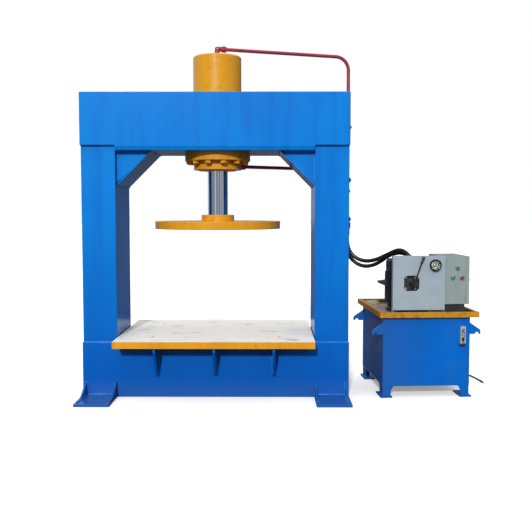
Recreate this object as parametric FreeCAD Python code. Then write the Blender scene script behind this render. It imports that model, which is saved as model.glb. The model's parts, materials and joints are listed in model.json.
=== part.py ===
"""Straight-side hydraulic press with a round platen, and its hydraulic power unit beside it.

Millimetres, +Z up, +Y towards the back. The origin is on the floor, under the ram's axis.
Each function below builds one group of pieces and each piece is written to parts/NAME.step.
The power unit is built in its own frame (U to the right, V to the back, origin at the front left
corner of its tank) and is then turned and moved beside the press by in_unit().
"""

import FreeCAD, Part
import math
import os
from FreeCAD import Vector as V

# ---- press frame
FRAME_W = 1600.0        # outside width over both columns
COLUMN_W = 205.0
COLUMN_D = 480.0
COLUMN_WALL = 16.0
CHEEK = 25.0            # thickness of the front and back cheek plates
FRAME_TOP = 1820.0
BEAM_LOW = 1480.0       # underside of the beam between the columns
BEAM_STEP = 1510.0      # lower edge of the beam's cheeks over the columns
BASE_TOP = 330.0        # upper edge of the base's cheeks over the columns
TABLE_TOP = 362.0
TABLE_T = 40.0
TABLE_HALF_W = 590.0
TABLE_FRONT = -437.0
TABLE_BACK = 530.0
TABLE_HOLE_X = 382.0
TABLE_HOLE_Y = 278.0    # half the spacing front to back
TABLE_HOLE_MID = 36.0   # the hole pattern's centre lies this far behind the ram's axis
TABLE_HOLE_R = 9.0
RIB_T = 16.0
FOOT_REACH = 258.0      # how far a foot plate stands out from its cheek
FOOT_T = 16.0
ANCHOR_R = 11.0
HAUNCH = 210.0          # leg of the 45 degree corner haunch
HAUNCH_T = 16.0
HAUNCH_FRONT = -200.0

# ---- cylinder and ram
TUBE_R = 149.0
BORE_R = 125.0
TUBE_LOW = 1374.0
TUBE_TOP = 2018.0
CAP_TOP = 2068.0
FLANGE_R = 203.0
FLANGE_T = 53.0
FLANGE_PCD_R = 176.0
FLANGE_BOLTS = 12
ROD_R = 62.5
RUNNING = 0.05          # radial running clearance
PLATEN_R = 390.0
PLATEN_T = 48.0
PLATEN_TOP = 1057.0
HUB_R = 102.0
HUB_T = 39.0
PISTON_T = 80.0
PISTON_LOW = 1628.0
PISTON_NUT_T = 30.0
GLAND_T = 66.0

# ---- oil pipes on the press
PIPE_R = 11.0
PIPE_WALL = 2.5
DROP_X = 832.0          # both pipes come down here, outside the right column
UPPER_Y = 215.0
UPPER_Z = 2106.0        # at the corner above the column
ELBOW_Z = 2118.0        # at the elbow, from which the pipe falls a little
UPPER_END = 1040.0
LOWER_Y = 275.0
LOWER_Z = 1399.0
LOWER_END = 1015.0
PORT_ANGLE = 30.0       # the lower port looks to the right and 30 degrees back
PIPE_BEND = 85.0
CLAMP_HALF_H = 15.0
CLAMP_HALF_W = 19.0
CLAMP_REACH = 22.0      # from the pipe's centre to the strap

# ---- hoses and the supply cable
HOSE_R = 12.5
CABLE_R = 5.5
UNION_T = 36.0
FERRULE_R = 16.5
FERRULE_T = 44.0

# ---- power unit
UNIT_X = 1005.0
UNIT_Y = -273.0
UNIT_TURN = 3.8         # degrees, seen from above, anticlockwise
TANK_W = 525.0
TANK_D = 660.0
TANK_LOW = 70.0
TANK_TOP = 485.0
TANK_WALL = 4.0
LID_T = 6.0
TRAY_LEFT, TRAY_RIGHT, TRAY_FRONT, TRAY_BACK = 24.0, 50.0, 30.0, 90.0
RIM_H = 32.0
RIM_W = 24.0
RIM_T = 4.0
PAD_T = 8.0
PANEL_U0, PANEL_U1 = 62.0, 379.0
PANEL_V = 30.0
PANEL_TOP = 851.0
PANEL_LOW = 524.0       # lower edge of the front sheet, above the tray's floor
PANEL_T = 2.0
PANEL_FLANGE = 36.0
VALVE_U, VALVE_Z = 176.0, 686.0
LEVER_U, LEVER_Z = 189.0, 686.0
LEVER_LEAN = 19.0       # degrees from upright, to the right
LEVER_L = 166.0
MANIFOLD_TOP = 700.0
GAUGE_U, GAUGE_Z = 317.0, 796.0
GAUGE_R = 34.0
BOX_U0, BOX_U1 = 382.0, 519.0
BOX_V0, BOX_V1 = 70.0, 420.0
BOX_Z0, BOX_Z1 = 554.0, 844.0
BOX_T = 2.0
DOOR_T = 22.0
GLASS_U = 480.0         # level gauge
GLASS_LOW = 314.0
GLASS_H = 116.0
GLASS_BOLTS = (GLASS_LOW + 18, GLASS_LOW + GLASS_H - 18)
DRAIN_U, DRAIN_Z = 90.0, 98.0
MOTOR_U, MOTOR_V = 187.0, 330.0
MOTOR_R = 110.0
MOTOR_TOP = 816.0
FLOOR_Z = TANK_TOP + LID_T   # upper face of the tank's lid

HALF = FRAME_W / 2
INNER = HALF - COLUMN_W      # inner face of each column
CORE = COLUMN_D / 2          # front and back faces of the columns
FACE = CORE + CHEEK          # outer faces of the cheek plates
PLATEN_LOW = PLATEN_TOP - PLATEN_T
TABLE_LOW = TABLE_TOP - TABLE_T

os.makedirs("parts", exist_ok=True)


# ---------------------------------------------------------------- helpers
def block(x0, y0, z0, x1, y1, z1):
    return Part.makeBox(x1 - x0, y1 - y0, z1 - z0, V(x0, y0, z0))


def rod(x, y, z, r, length, axis=V(0, 0, 1)):
    return Part.makeCylinder(r, length, V(x, y, z), axis)


def tube(x, y, z, r_out, r_in, length, axis=V(0, 0, 1)):
    return rod(x, y, z, r_out, length, axis).cut(rod(x, y, z, r_in, length, axis))


def polygon(points):
    closed = points + points[:1]
    return Part.Face(Part.makePolygon([V(*p) for p in closed]))


def sheet_xz(points, y, thick):
    """A plate whose outline is in the XZ plane, from y towards the back."""
    return polygon([(px, y, pz) for px, pz in points]).extrude(V(0, thick, 0))


def sheet_yz(points, x, thick):
    """A plate whose outline is in the YZ plane, from x towards the right."""
    return polygon([(x, py, pz) for py, pz in points]).extrude(V(thick, 0, 0))


def sheet_xy(points, z, thick):
    return polygon([(px, py, z) for px, py in points]).extrude(V(0, 0, thick))


def hexagon(x, y, z, across, thick, axis=V(0, 0, 1)):
    """A hexagonal prism with its first face centred on (x, y, z)."""
    corner = across / math.sqrt(3)
    points = []
    for i in range(6):
        a = math.radians(60 * i)
        points.append((corner * math.cos(a), corner * math.sin(a), 0))
    prism = polygon(points).extrude(V(0, 0, thick))
    prism.Placement = FreeCAD.Placement(V(x, y, z), FreeCAD.Rotation(V(0, 0, 1), axis))
    return prism


def turned(profile, x=0.0, y=0.0, z=0.0, axis=V(0, 0, 1)):
    """A solid of revolution; profile holds (radius, height) pairs along the axis."""
    face = polygon([(r, 0, h) for r, h in profile])
    solid = face.revolve(V(0, 0, 0), V(0, 0, 1), 360)
    solid.Placement = FreeCAD.Placement(V(x, y, z), FreeCAD.Rotation(V(0, 0, 1), axis))
    return solid


def around(count, radius, start=0.0):
    """Evenly spaced points on a circle about the Z axis."""
    for i in range(count):
        a = math.radians(start + 360.0 * i / count)
        yield radius * math.cos(a), radius * math.sin(a)


def mirrored_x(shape):
    return shape.mirror(V(0, 0, 0), V(1, 0, 0))


def mirrored_y(shape):
    return shape.mirror(V(0, 0, 0), V(0, 1, 0))


def in_unit(shape):
    """Moves a shape from the power unit's own frame to its place beside the press."""
    placed = shape.copy()
    placed.rotate(V(0, 0, 0), V(0, 0, 1), UNIT_TURN)
    placed.translate(V(UNIT_X, UNIT_Y, 0))
    return placed


def chamfered(shape, size, wanted):
    """Chamfers the edges for which wanted(edge) is true."""
    edges = [e for e in shape.Edges if wanted(e)]
    return shape.makeChamfer(size, edges) if edges else shape


def circular(edge, radius):
    curve = edge.Curve
    return isinstance(curve, Part.Circle) and abs(curve.Radius - radius) < 0.01


def export(name, *shapes):
    """Writes one node: a single solid, or a group of separate solids."""
    solids = []
    for s in shapes:
        solids += s.Solids
    for s in solids:
        if not s.isValid() or s.Volume <= 0:
            raise ValueError(f"{name} has an invalid solid")
    shape = solids[0] if len(solids) == 1 else Part.makeCompound(solids)
    shape.exportStep(f"parts/{name}.step")


# ---------------------------------------------------------------- tubes along a route
def bent_wire(points, share=0.45, radius=None):
    """Straight runs joined by tangent arcs. Returns the wire, its length and its arcs' radii."""
    pts = [V(*p) for p in points]
    edges = []
    radii = []
    last = pts[0]
    for a, b, c in zip(pts, pts[1:], pts[2:]):
        back = (a - b).normalize()
        ahead = (c - b).normalize()
        turn = math.pi - back.getAngle(ahead)
        shorter = min((a - b).Length, (c - b).Length)
        reach = share * shorter if radius is None else radius * math.tan(turn / 2)
        bend = reach / math.tan(turn / 2)
        start = b + back * reach
        end = b + ahead * reach
        inward = (back + ahead).normalize()
        middle = b + inward * (bend / math.cos(turn / 2) - bend)
        edges.append(Part.LineSegment(last, start).toShape())
        edges.append(Part.Arc(start, middle, end).toShape())
        radii.append(bend)
        last = end
    edges.append(Part.LineSegment(last, pts[-1]).toShape())
    wire = Part.Wire(edges)
    return wire, wire.Length, radii


def swept_tube(points, r_out, r_in=0.0, radius=None, name=""):
    """A round tube or solid cord along bent_wire(points)."""
    wire, length, radii = bent_wire(points, radius=radius)
    start = V(*points[0])
    direction = V(*points[1]) - start

    def swept(r):
        ring = Part.Wire(Part.makeCircle(r, start, direction))
        return wire.makePipeShell([ring], True, False)

    solid = swept(r_out)
    section = math.pi * r_out ** 2
    share = solid.Volume / (section * length)
    print(f"{name}: length {length:.0f}, volume share {share:.4f}, "
          f"radii {min(radii):.0f} to {max(radii):.0f}")
    if r_in:
        solid = solid.cut(swept(r_in))
    return solid


# ---------------------------------------------------------------- press frame
def column(side):
    """A box column welded shut at both ends; side is -1 for left and 1 for right."""
    outer, inner = side * HALF, side * INNER
    x0, x1 = min(outer, inner), max(outer, inner)
    top = FRAME_TOP - 20
    w = COLUMN_WALL
    body = block(x0, -CORE, 0, x1, CORE, top)
    hollow = block(x0 + w, -CORE + w, w, x1 - w, CORE - w, top - w)
    return body.cut(hollow)


def cheek_plates():
    beam = [(-HALF, BEAM_STEP), (-INNER, BEAM_STEP), (-INNER, BEAM_LOW), (INNER, BEAM_LOW),
            (INNER, BEAM_STEP), (HALF, BEAM_STEP), (HALF, FRAME_TOP), (-HALF, FRAME_TOP)]
    base = [(-HALF, 0), (HALF, 0), (HALF, BASE_TOP), (INNER, BASE_TOP), (INNER, TABLE_LOW),
            (-INNER, TABLE_LOW), (-INNER, BASE_TOP), (-HALF, BASE_TOP)]
    webs = []
    for x in (-350, 0, 350):
        webs.append(block(x - RIB_T / 2, -CORE, 0, x + RIB_T / 2, CORE, TABLE_LOW))
    export("beam_cheeks", sheet_xz(beam, -FACE, CHEEK), sheet_xz(beam, CORE, CHEEK))
    export("base_plates", sheet_xz(base, -FACE, CHEEK), sheet_xz(base, CORE, CHEEK), *webs)


def beam_inside():
    hole = rod(0, 0, 0, TUBE_R + 1, FRAME_TOP)
    top = block(-HALF, -CORE, FRAME_TOP - 20, HALF, CORE, FRAME_TOP).cut(hole)
    bottom = block(-INNER, -CORE, BEAM_LOW, INNER, CORE, BEAM_STEP).cut(hole)
    for x, y in around(FLANGE_BOLTS, FLANGE_PCD_R, 15):
        bottom = bottom.cut(rod(x, y, BEAM_LOW, 12.3, BEAM_STEP - BEAM_LOW))
    webs = []
    for x in (-400, -198, 198, 400):
        webs.append(block(x - 8, -CORE, BEAM_STEP, x + 8, CORE, FRAME_TOP - 20))
    export("beam_inner_plates", top, bottom, *webs)


def haunch():
    """The right corner haunch: two triangular plates and the sloping plate that closes them."""
    slope = HAUNCH_T * math.sqrt(2)
    low, left = BEAM_LOW - HAUNCH, INNER - HAUNCH
    triangle = [(INNER, BEAM_LOW), (left + slope, BEAM_LOW), (INNER, low + slope)]
    band = [(left, BEAM_LOW), (left + slope, BEAM_LOW), (INNER, low + slope), (INNER, low)]
    front = sheet_xz(triangle, HAUNCH_FRONT, HAUNCH_T)
    back = sheet_xz(triangle, CORE - HAUNCH_T, HAUNCH_T)
    sloping = sheet_xz(band, HAUNCH_FRONT, CORE - HAUNCH_FRONT)
    return front, back, sloping


def table_ribs(front):
    """Three triangular ribs that carry the table's overhang."""
    overhang = -TABLE_FRONT - FACE if front else TABLE_BACK - FACE
    reach = overhang - 18
    outline = [(FACE, TABLE_LOW), (FACE + reach, TABLE_LOW), (FACE + reach, TABLE_LOW - 24),
               (FACE + 26, 136), (FACE, 136)]
    ribs = []
    for x in (-350, 0, 350):
        rib = sheet_yz(outline, x - RIB_T / 2, RIB_T)
        ribs.append(mirrored_y(rib) if front else rib)
    return ribs


def table():
    plate = block(-TABLE_HALF_W, TABLE_FRONT, TABLE_LOW, TABLE_HALF_W, TABLE_BACK, TABLE_TOP)
    for x in (-TABLE_HOLE_X, TABLE_HOLE_X):
        for y in (TABLE_HOLE_MID - TABLE_HOLE_Y, TABLE_HOLE_MID + TABLE_HOLE_Y):
            plate = plate.cut(rod(x, y, TABLE_LOW, TABLE_HOLE_R, TABLE_T))
    return plate


def foot_plate():
    """The front right foot plate, with its anchor hole."""
    plate = block(INNER, -FACE - FOOT_REACH, 0, HALF, -FACE, FOOT_T)
    middle = HALF - COLUMN_W / 2
    return plate.cut(rod(middle, -FACE - 130, 0, ANCHOR_R, FOOT_T))


def foot_gusset(x):
    """A foot gusset with a hollow sweep, standing on the front foot plate at x."""
    top, reach, toe = 92.0, 218.0, 10.0
    a = V(x, -FACE, FOOT_T)
    b = V(x, -FACE, top)
    c = V(x, -FACE - 14, top)
    d = V(x, -FACE - reach, FOOT_T + toe)
    e = V(x, -FACE - reach, FOOT_T)
    sweep = V(x, -FACE - 78, FOOT_T + 30)
    edges = [Part.LineSegment(a, b).toShape(), Part.LineSegment(b, c).toShape(),
             Part.Arc(c, sweep, d).toShape(), Part.LineSegment(d, e).toShape(),
             Part.LineSegment(e, a).toShape()]
    return Part.Face(Part.Wire(edges)).extrude(V(12, 0, 0))


def feet():
    plate = foot_plate()
    gussets = [foot_gusset(INNER + 2), foot_gusset(HALF - 22)]
    right = [plate] + gussets
    front = right + [mirrored_x(s) for s in right]
    export("anchor_feet", *front, *[mirrored_y(s) for s in front])


def press_frame():
    export("columns", column(-1), column(1))
    cheek_plates()
    beam_inside()
    front, back, sloping = haunch()
    right = [front, back, sloping]
    export("corner_haunches", *right, *[mirrored_x(s) for s in right])
    export("table_ribs", *table_ribs(True), *table_ribs(False))
    export("table_plate", table())
    feet()


# ---------------------------------------------------------------- cylinder and ram
def cylinder():
    bore = rod(0, 0, TUBE_LOW, BORE_R, TUBE_TOP - TUBE_LOW)
    a = math.radians(PORT_ANGLE)
    outward = V(math.cos(a), math.sin(a), 0)
    port = rod(0, 0, LOWER_Z, 8, TUBE_R + 1, outward)
    barrel = rod(0, 0, TUBE_LOW, TUBE_R, TUBE_TOP - TUBE_LOW).cut(bore).cut(port)
    cap = turned([(0, 0), (TUBE_R, 0), (TUBE_R, 42), (TUBE_R - 8, 50), (0, 50)], z=TUBE_TOP)
    cap = cap.cut(rod(0, 0, TUBE_TOP, 8, 60))
    flange = tube(0, 0, BEAM_LOW - FLANGE_T, FLANGE_R, TUBE_R, FLANGE_T)
    low = BEAM_LOW - FLANGE_T
    flange = chamfered(flange, 3, lambda e: circular(e, FLANGE_R) and e.CenterOfMass.z < low + 1)
    bolts = []
    for x, y in around(FLANGE_BOLTS, FLANGE_PCD_R, 15):
        flange = flange.cut(rod(x, y, low, 12.3, FLANGE_T))
        shank = rod(x, y, low, 12, FLANGE_T + 24)
        washer = tube(x, y, low - 4, 22, 12, 4).fuse(rod(x, y, low - 4, 12, 4))
        bolts.append(hexagon(x, y, low - 19, 36, 15).fuse(shank).fuse(washer).removeSplitter())
    neck_r = 98.0
    gland = turned([(ROD_R + RUNNING, 0), (BORE_R, 0), (BORE_R, 14), (neck_r, 14),
                    (neck_r, GLAND_T), (ROD_R + RUNNING, GLAND_T)], z=TUBE_LOW)
    seals = []
    for z, r_out, height in ((TUBE_LOW, 70, 8), (TUBE_LOW + 26, 72, 12)):
        seal = tube(0, 0, z, r_out, ROD_R + RUNNING, height)
        gland = gland.cut(seal)
        seals.append(seal)
    export("cylinder_barrel", barrel, cap)
    export("cylinder_flange", flange)
    export("flange_bolts", *bolts)
    export("rod_gland", gland)
    export("rod_seals", *seals)


def ram():
    top = PISTON_LOW + PISTON_T
    neck = 45.0
    shaft = turned([(0, PLATEN_TOP), (ROD_R, PLATEN_TOP), (ROD_R, PISTON_LOW),
                    (neck, PISTON_LOW), (neck, top + PISTON_NUT_T), (0, top + PISTON_NUT_T)])
    piston = tube(0, 0, PISTON_LOW, BORE_R - RUNNING, neck, PISTON_T)
    seals = []
    for z in (PISTON_LOW + 14, PISTON_LOW + 54):
        ring = tube(0, 0, z, BORE_R - RUNNING, 116, 12)
        piston = piston.cut(ring)
        seals.append(ring)
    nut = hexagon(0, 0, top, 130, PISTON_NUT_T).cut(rod(0, 0, top, neck, PISTON_NUT_T))
    hub = turned([(ROD_R, 0), (HUB_R, 0), (HUB_R, HUB_T - 3), (HUB_R - 3, HUB_T), (ROD_R, HUB_T)],
                 z=PLATEN_TOP)
    edge = 3.0
    platen = turned([(0, 0), (PLATEN_R - edge, 0), (PLATEN_R, edge), (PLATEN_R, PLATEN_T - edge),
                     (PLATEN_R - edge, PLATEN_T), (0, PLATEN_T)], z=PLATEN_LOW)
    screws = []
    for x, y in around(6, 81, 30):
        hub = hub.cut(rod(x, y, PLATEN_TOP, 7, HUB_T)).cut(
            rod(x, y, PLATEN_TOP + HUB_T - 13, 10.5, 13))
        platen = platen.cut(rod(x, y, PLATEN_TOP - 22, 7, 22))
        screw = rod(x, y, PLATEN_TOP - 20, 6.8, HUB_T + 8)
        head = rod(x, y, PLATEN_TOP + HUB_T - 13, 10, 13)
        socket = hexagon(x, y, PLATEN_TOP + HUB_T - 7, 10, 8)
        screws.append(screw.fuse(head).cut(socket).removeSplitter())
    export("piston_rod", shaft)
    export("piston", piston, nut)
    export("piston_seals", *seals)
    export("rod_hub", hub)
    export("hub_screws", *screws)
    export("platen", platen)


# ---------------------------------------------------------------- oil pipes on the press
def elbow_fitting():
    """The screwed elbow on top of the cylinder, with its nut around the pipe."""
    stem = rod(0, 0, CAP_TOP, 15, ELBOW_Z - CAP_TOP)
    nut = hexagon(0, 0, CAP_TOP, 41, 16)
    centre = V(0, 0, ELBOW_Z)
    along = (V(DROP_X, UPPER_Y, UPPER_Z) - centre).normalize()
    arm = rod(0, 0, ELBOW_Z, 15, 40, along)
    collar = hexagon(*(centre + along * 30), 36, 26, along)
    body = stem.fuse(nut).fuse(arm).fuse(collar).fuse(Part.makeSphere(15, centre))
    seat = centre + along * 40
    return body.cut(rod(*seat, PIPE_R, 40, along)).removeSplitter(), seat


def pipes():
    elbow, seat = elbow_fitting()
    upper = [seat, (DROP_X, UPPER_Y, UPPER_Z), (DROP_X, UPPER_Y, UPPER_END)]
    a = math.radians(PORT_ANGLE)
    r0 = TUBE_R + 26
    corner_x = LOWER_Y / math.tan(a)
    lower = [(r0 * math.cos(a), r0 * math.sin(a), LOWER_Z), (corner_x, LOWER_Y, LOWER_Z),
             (DROP_X, LOWER_Y, LOWER_Z), (DROP_X, LOWER_Y, LOWER_END)]
    outward = V(math.cos(a), math.sin(a), 0)
    boss = rod(TUBE_R * 0.96 * math.cos(a), TUBE_R * 0.96 * math.sin(a), LOWER_Z, 20, 19, outward)
    nut = hexagon((TUBE_R + 12) * math.cos(a), (TUBE_R + 12) * math.sin(a), LOWER_Z, 36, 30,
                  outward)
    port = boss.fuse(nut).cut(rod(0, 0, TUBE_LOW, TUBE_R, 100))
    port = port.cut(rod(*lower[0], PIPE_R, 60, outward))
    port = port.cut(rod(0, 0, LOWER_Z, 8, r0 + 1, outward)).removeSplitter()
    inside = PIPE_R - PIPE_WALL
    export("oil_pipes", swept_tube(upper, PIPE_R, inside, PIPE_BEND, "upper pipe"),
           swept_tube(lower, PIPE_R, inside, PIPE_BEND, "lower pipe"))
    clamps = []
    for z in (1660, 1320, 1066):
        clamps += pipe_clamp(UPPER_Y, z, UPPER_Y - CLAMP_HALF_W)
    for z in (1250, 1040):
        clamps += pipe_clamp(LOWER_Y, z, CORE - 30)
    export("pipe_clamps", *clamps)
    unions = [pipe_union(UPPER_Y, UPPER_END), pipe_union(LOWER_Y, LOWER_END)]
    export("pipe_fittings", elbow, port, *unions)


def pipe_clamp(y, z, strap_from):
    """A clamp block round a pipe, on a strap that lies on the column's right face."""
    low, high = z - CLAMP_HALF_H, z + CLAMP_HALF_H
    near, far = DROP_X - CLAMP_REACH, DROP_X + 17
    jaw = block(near, y - CLAMP_HALF_W, low, far, y + CLAMP_HALF_W, high)
    jaw = jaw.cut(rod(DROP_X, y, low, PIPE_R, high - low))
    return [jaw, block(HALF, strap_from, low, near, y + CLAMP_HALF_W, high)]


def pipe_union(y, end):
    """The nut and adaptor that join a pipe to its hose."""
    body = hexagon(DROP_X, y, end - UNION_T, 36, UNION_T)
    sleeve = tube(DROP_X, y, end, 16, PIPE_R, 8)
    return body.fuse(sleeve).removeSplitter()


# ---------------------------------------------------------------- hoses and cable
UPPER_HOSE = [
    (832, 215, 960), (832, 215, 893), (859, 204, 838), (906, 186, 803), (962, 161, 794),
    (1016, 130, 808), (1062, 97, 834), (1103, 57, 859), (1138, 14, 877), (1170, -30, 868),
    (1194, -68, 836), (1206, -90, 790),
]
LOWER_HOSE = [
    (832, 275, 935), (832, 275, 865), (859, 264, 808), (905, 244, 768), (956, 216, 756),
    (1006, 190, 768), (1049, 164, 795), (1087, 132, 830), (1125, 84, 851), (1160, 30, 856),
    (1193, -19, 846), (1225, -57, 812), (1246, -80, 767),
]
SUPPLY_CABLE = [
    (1394, 200, 588), (1393, 268, 588), (1392, 336, 585), (1391, 402, 576), (1391, 464, 556),
    (1391, 514, 518), (1391, 543, 462), (1391, 556, 396), (1391, 560, 326), (1391, 562, 256),
    (1393, 568, 188), (1398, 579, 122), (1408, 595, 66), (1429, 614, 26), (1470, 631, 7),
    (1532, 627, 5.5), (1584, 592, 5.5), (1623, 537, 5.5), (1651, 474, 5.5), (1671, 407, 5.5),
    (1687, 338, 5.5), (1700, 270, 5.5), (1708, 205, 5.5), (1712, 147, 5.5),
]


def hose_end(end, near):
    """The crimped ferrule beyond a hose's end, in line with the run from near to end."""
    at = V(*end)
    outward = (at - V(*near)).normalize()
    body = rod(at.x, at.y, at.z, FERRULE_R, FERRULE_T, outward)
    return body, at + outward * FERRULE_T, outward


def cords():
    ends = []
    manifold_ends = []
    for name, route in (("upper_hose", UPPER_HOSE), ("lower_hose", LOWER_HOSE)):
        export(name, swept_tube(route, HOSE_R, name=name))
        ends.append(hose_end(route[0], route[1])[0])
        ferrule, at, outward = hose_end(route[-1], route[-2])
        ends.append(ferrule)
        manifold_ends.append((at, outward))
    export("hose_ferrules", *ends)
    export("supply_cable", swept_tube(SUPPLY_CABLE, CABLE_R, name="supply_cable"))
    return manifold_ends


# ---------------------------------------------------------------- power unit: tank
def tank():
    w = TANK_WALL
    shell = block(0, 0, TANK_LOW, TANK_W, TANK_D, TANK_TOP).cut(
        block(w, w, TANK_LOW + w, TANK_W - w, TANK_D - w, TANK_TOP))
    for z in GLASS_BOLTS:
        shell = shell.cut(rod(GLASS_U, 0, z, 5.3, w, V(0, 1, 0)))
    shell = shell.cut(rod(DRAIN_U, TANK_D - w, DRAIN_Z, 10.2, w, V(0, 1, 0)))
    u0, u1 = -TRAY_LEFT, TANK_W + TRAY_RIGHT
    v0, v1 = -TRAY_FRONT, TANK_D + TRAY_BACK
    t = RIM_T
    lid = block(u0 + t, v0 + t, TANK_TOP, u1 - t, v1 - t, FLOOR_Z)
    lid = lid.cut(rod(MOTOR_U, MOTOR_V, TANK_TOP, 66, LID_T))
    lid = lid.cut(rod(300, 560, TANK_TOP, 22, LID_T))
    outer = block(u0, v0, TANK_TOP, u1, v1, TANK_TOP + RIM_H)
    inner = block(u0 + t, v0 + t, TANK_TOP, u1 - t, v1 - t, TANK_TOP + RIM_H - t)
    mouth = block(u0 + RIM_W, v0 + RIM_W, TANK_TOP, u1 - RIM_W, v1 - RIM_W, TANK_TOP + RIM_H)
    rim = outer.cut(inner).cut(mouth)
    export("tank_shell", in_unit(shell))
    export("drip_tray", in_unit(lid), in_unit(rim))


def mirrored_in_tank(shape, left, front):
    """Copies a front right piece to another corner of the tank."""
    if left:
        shape = shape.mirror(V(TANK_W / 2, 0, 0), V(1, 0, 0))
    if not front:
        shape = shape.mirror(V(0, TANK_D / 2, 0), V(0, 1, 0))
    return shape


def tank_leg():
    """The front right leg: a tapered angle that carries on from the tank's corner."""
    t = 6.0
    front = sheet_xz([(TANK_W, TANK_LOW), (TANK_W - 66, TANK_LOW), (TANK_W - 50, TANK_LOW - 30),
                      (TANK_W - 46, PAD_T), (TANK_W, PAD_T)], 0, t)
    side = sheet_yz([(t, TANK_LOW), (120, TANK_LOW), (92, TANK_LOW - 34), (86, PAD_T), (t, PAD_T)],
                    TANK_W - t, t)
    return front.fuse(side).removeSplitter()


def foot_pad():
    pad = block(TANK_W - 56, -14, 0, TANK_W + 14, 140, PAD_T)
    return pad.cut(rod(TANK_W - 28, 60, 0, 7, PAD_T))


def lifting_hook():
    """The front right lifting hook: a plate with a rounded notch for a sling."""
    z = 380.0
    u = TANK_W
    a, b, c = V(u, 0, z), V(u, 0, z + 72), V(u + 62, 0, z + 30)
    d, e, f = V(u + 68, 0, z + 20), V(u + 68, 0, z), V(u + 58, 0, z)
    g, h = V(u + 46, 0, z + 12), V(u + 34, 0, z)
    edges = [Part.LineSegment(a, b).toShape(), Part.LineSegment(b, c).toShape(),
             Part.LineSegment(c, d).toShape(), Part.LineSegment(d, e).toShape(),
             Part.LineSegment(e, f).toShape(), Part.Arc(f, g, h).toShape(),
             Part.LineSegment(h, a).toShape()]
    return Part.Face(Part.Wire(edges)).extrude(V(0, 10, 0))


def tank_corners():
    legs = []
    hooks = []
    for front in (True, False):
        for left in (True, False):
            legs.append(in_unit(mirrored_in_tank(tank_leg(), left, front)))
            legs.append(in_unit(mirrored_in_tank(foot_pad(), left, front)))
            hooks.append(in_unit(mirrored_in_tank(lifting_hook(), left, front)))
    export("tank_legs", *legs)
    export("lifting_hooks", *hooks)


def tank_fittings(valve_screws):
    face = V(0, -1, 0)
    u, z0, z1 = GLASS_U, GLASS_LOW, GLASS_LOW + GLASS_H
    frame = block(u - 16, -22, z0, u + 16, 0, z1)
    window = block(u - 9, -22, z0 + 26, u + 9, -6, z1 - 26)
    frame = frame.cut(window)
    glass = block(u - 9, -20, z0 + 26, u + 9, -6, z1 - 26)
    bolts = []
    for z in GLASS_BOLTS:
        frame = frame.cut(rod(u, 0, z, 5.2, 22, face))
        bolts.append(rod(u, 12, z, 5, 34, face).fuse(hexagon(u, -22, z, 14, 7, face)))
    back = V(0, 1, 0)
    plug = hexagon(DRAIN_U, TANK_D, DRAIN_Z, 27, 12, back).fuse(
        rod(DRAIN_U, TANK_D - 12, DRAIN_Z, 10, 12, back))
    neck = tube(300, 560, TANK_TOP - 60, 22, 20, 60 + LID_T + 24)
    collar = tube(300, 560, FLOOR_Z, 40, 22, 4)
    breather = turned([(22.2, 4), (38, 4), (38, 34), (34, 44), (0, 44), (0, 36), (22.2, 36)],
                      300, 560, FLOOR_Z)
    export("level_gauge_frame", in_unit(frame))
    export("level_gauge_glass", in_unit(glass))
    fasteners = bolts + [plug] + valve_screws
    export("unit_fasteners", *[in_unit(f.removeSplitter()) for f in fasteners])
    export("filler_breather", in_unit(neck.fuse(collar).removeSplitter()), in_unit(breather))


# ---------------------------------------------------------------- power unit: motor and pump
def motor():
    u, v = MOTOR_U, MOTOR_V
    base = FLOOR_Z
    flange = turned([(31, 0), (105, 0), (105, 14), (92, 20), (92, 46), (31, 46)], u, v, base)
    low, high = base + 46, MOTOR_TOP - 76
    stator = tube(u, v, low, 92, 66, high - low)
    fins = stator
    for i in range(32):
        fin = block(90, -2, low + 4, MOTOR_R, 2, high - 4)
        fin.rotate(V(0, 0, 0), V(0, 0, 1), 360.0 * i / 32)
        fin.translate(V(u, v, 0))
        fins = fins.fuse(fin)
    fins = fins.removeSplitter()
    shield = turned([(30, 0), (92, 0), (92, 10), (60, 18), (30, 18)], u, v, high)
    cover = turned([(100, 0), (103, 0), (103, 62), (92, 76), (16, 76), (16, 74), (91, 74),
                    (100, 61.5)], u, v, MOTOR_TOP - 76)
    for i in range(10):
        slot = block(30, -3.5, MOTOR_TOP - 10, 78, 3.5, MOTOR_TOP + 1)
        slot.rotate(V(0, 0, 0), V(0, 0, 1), 36.0 * i)
        slot.translate(V(u, v, 0))
        cover = cover.cut(slot)
    shaft = rod(u, v, 330, 14 - RUNNING, high + 60 - 330)
    core = rod(u, v, low + 12, 65, high - low - 24)
    fan_z = high + 26
    hub = tube(u, v, fan_z, 26, 14 - RUNNING, 26)
    fan = hub
    for i in range(8):
        blade = block(25, -1.5, fan_z, 84, 1.5, fan_z + 26)
        blade.rotate(V(0, 0, 0), V(0, 0, 1), 45.0 * i)
        blade.translate(V(u, v, 0))
        fan = fan.fuse(blade)
    disc = tube(u, v, fan_z - 3, 84, 14 - RUNNING, 3)
    fan = fan.fuse(disc).removeSplitter()
    bearings = [tube(u, v, base + 14, 31, 14, 16), tube(u, v, high, 30, 14, 16)]
    export("motor_housing", *[in_unit(s) for s in [flange, fins, shield] + bearings])
    export("motor_fan_cover", in_unit(cover))
    export("motor_rotor", in_unit(shaft.fuse(core).removeSplitter()))
    export("motor_fan", in_unit(fan))
    terminal_box(u, v)


def terminal_box(u, v):
    """The motor's terminal box on its left side, with a sloping underside."""
    outline = [(u - 156, 676), (u - 100, 684), (u - 100, 642), (u - 152, 662)]
    body = sheet_xz(outline, v - 30, 60)
    clear = rod(u, v, 600, MOTOR_R, 140)
    export("motor_terminal_box", in_unit(body.cut(clear)))


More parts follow.
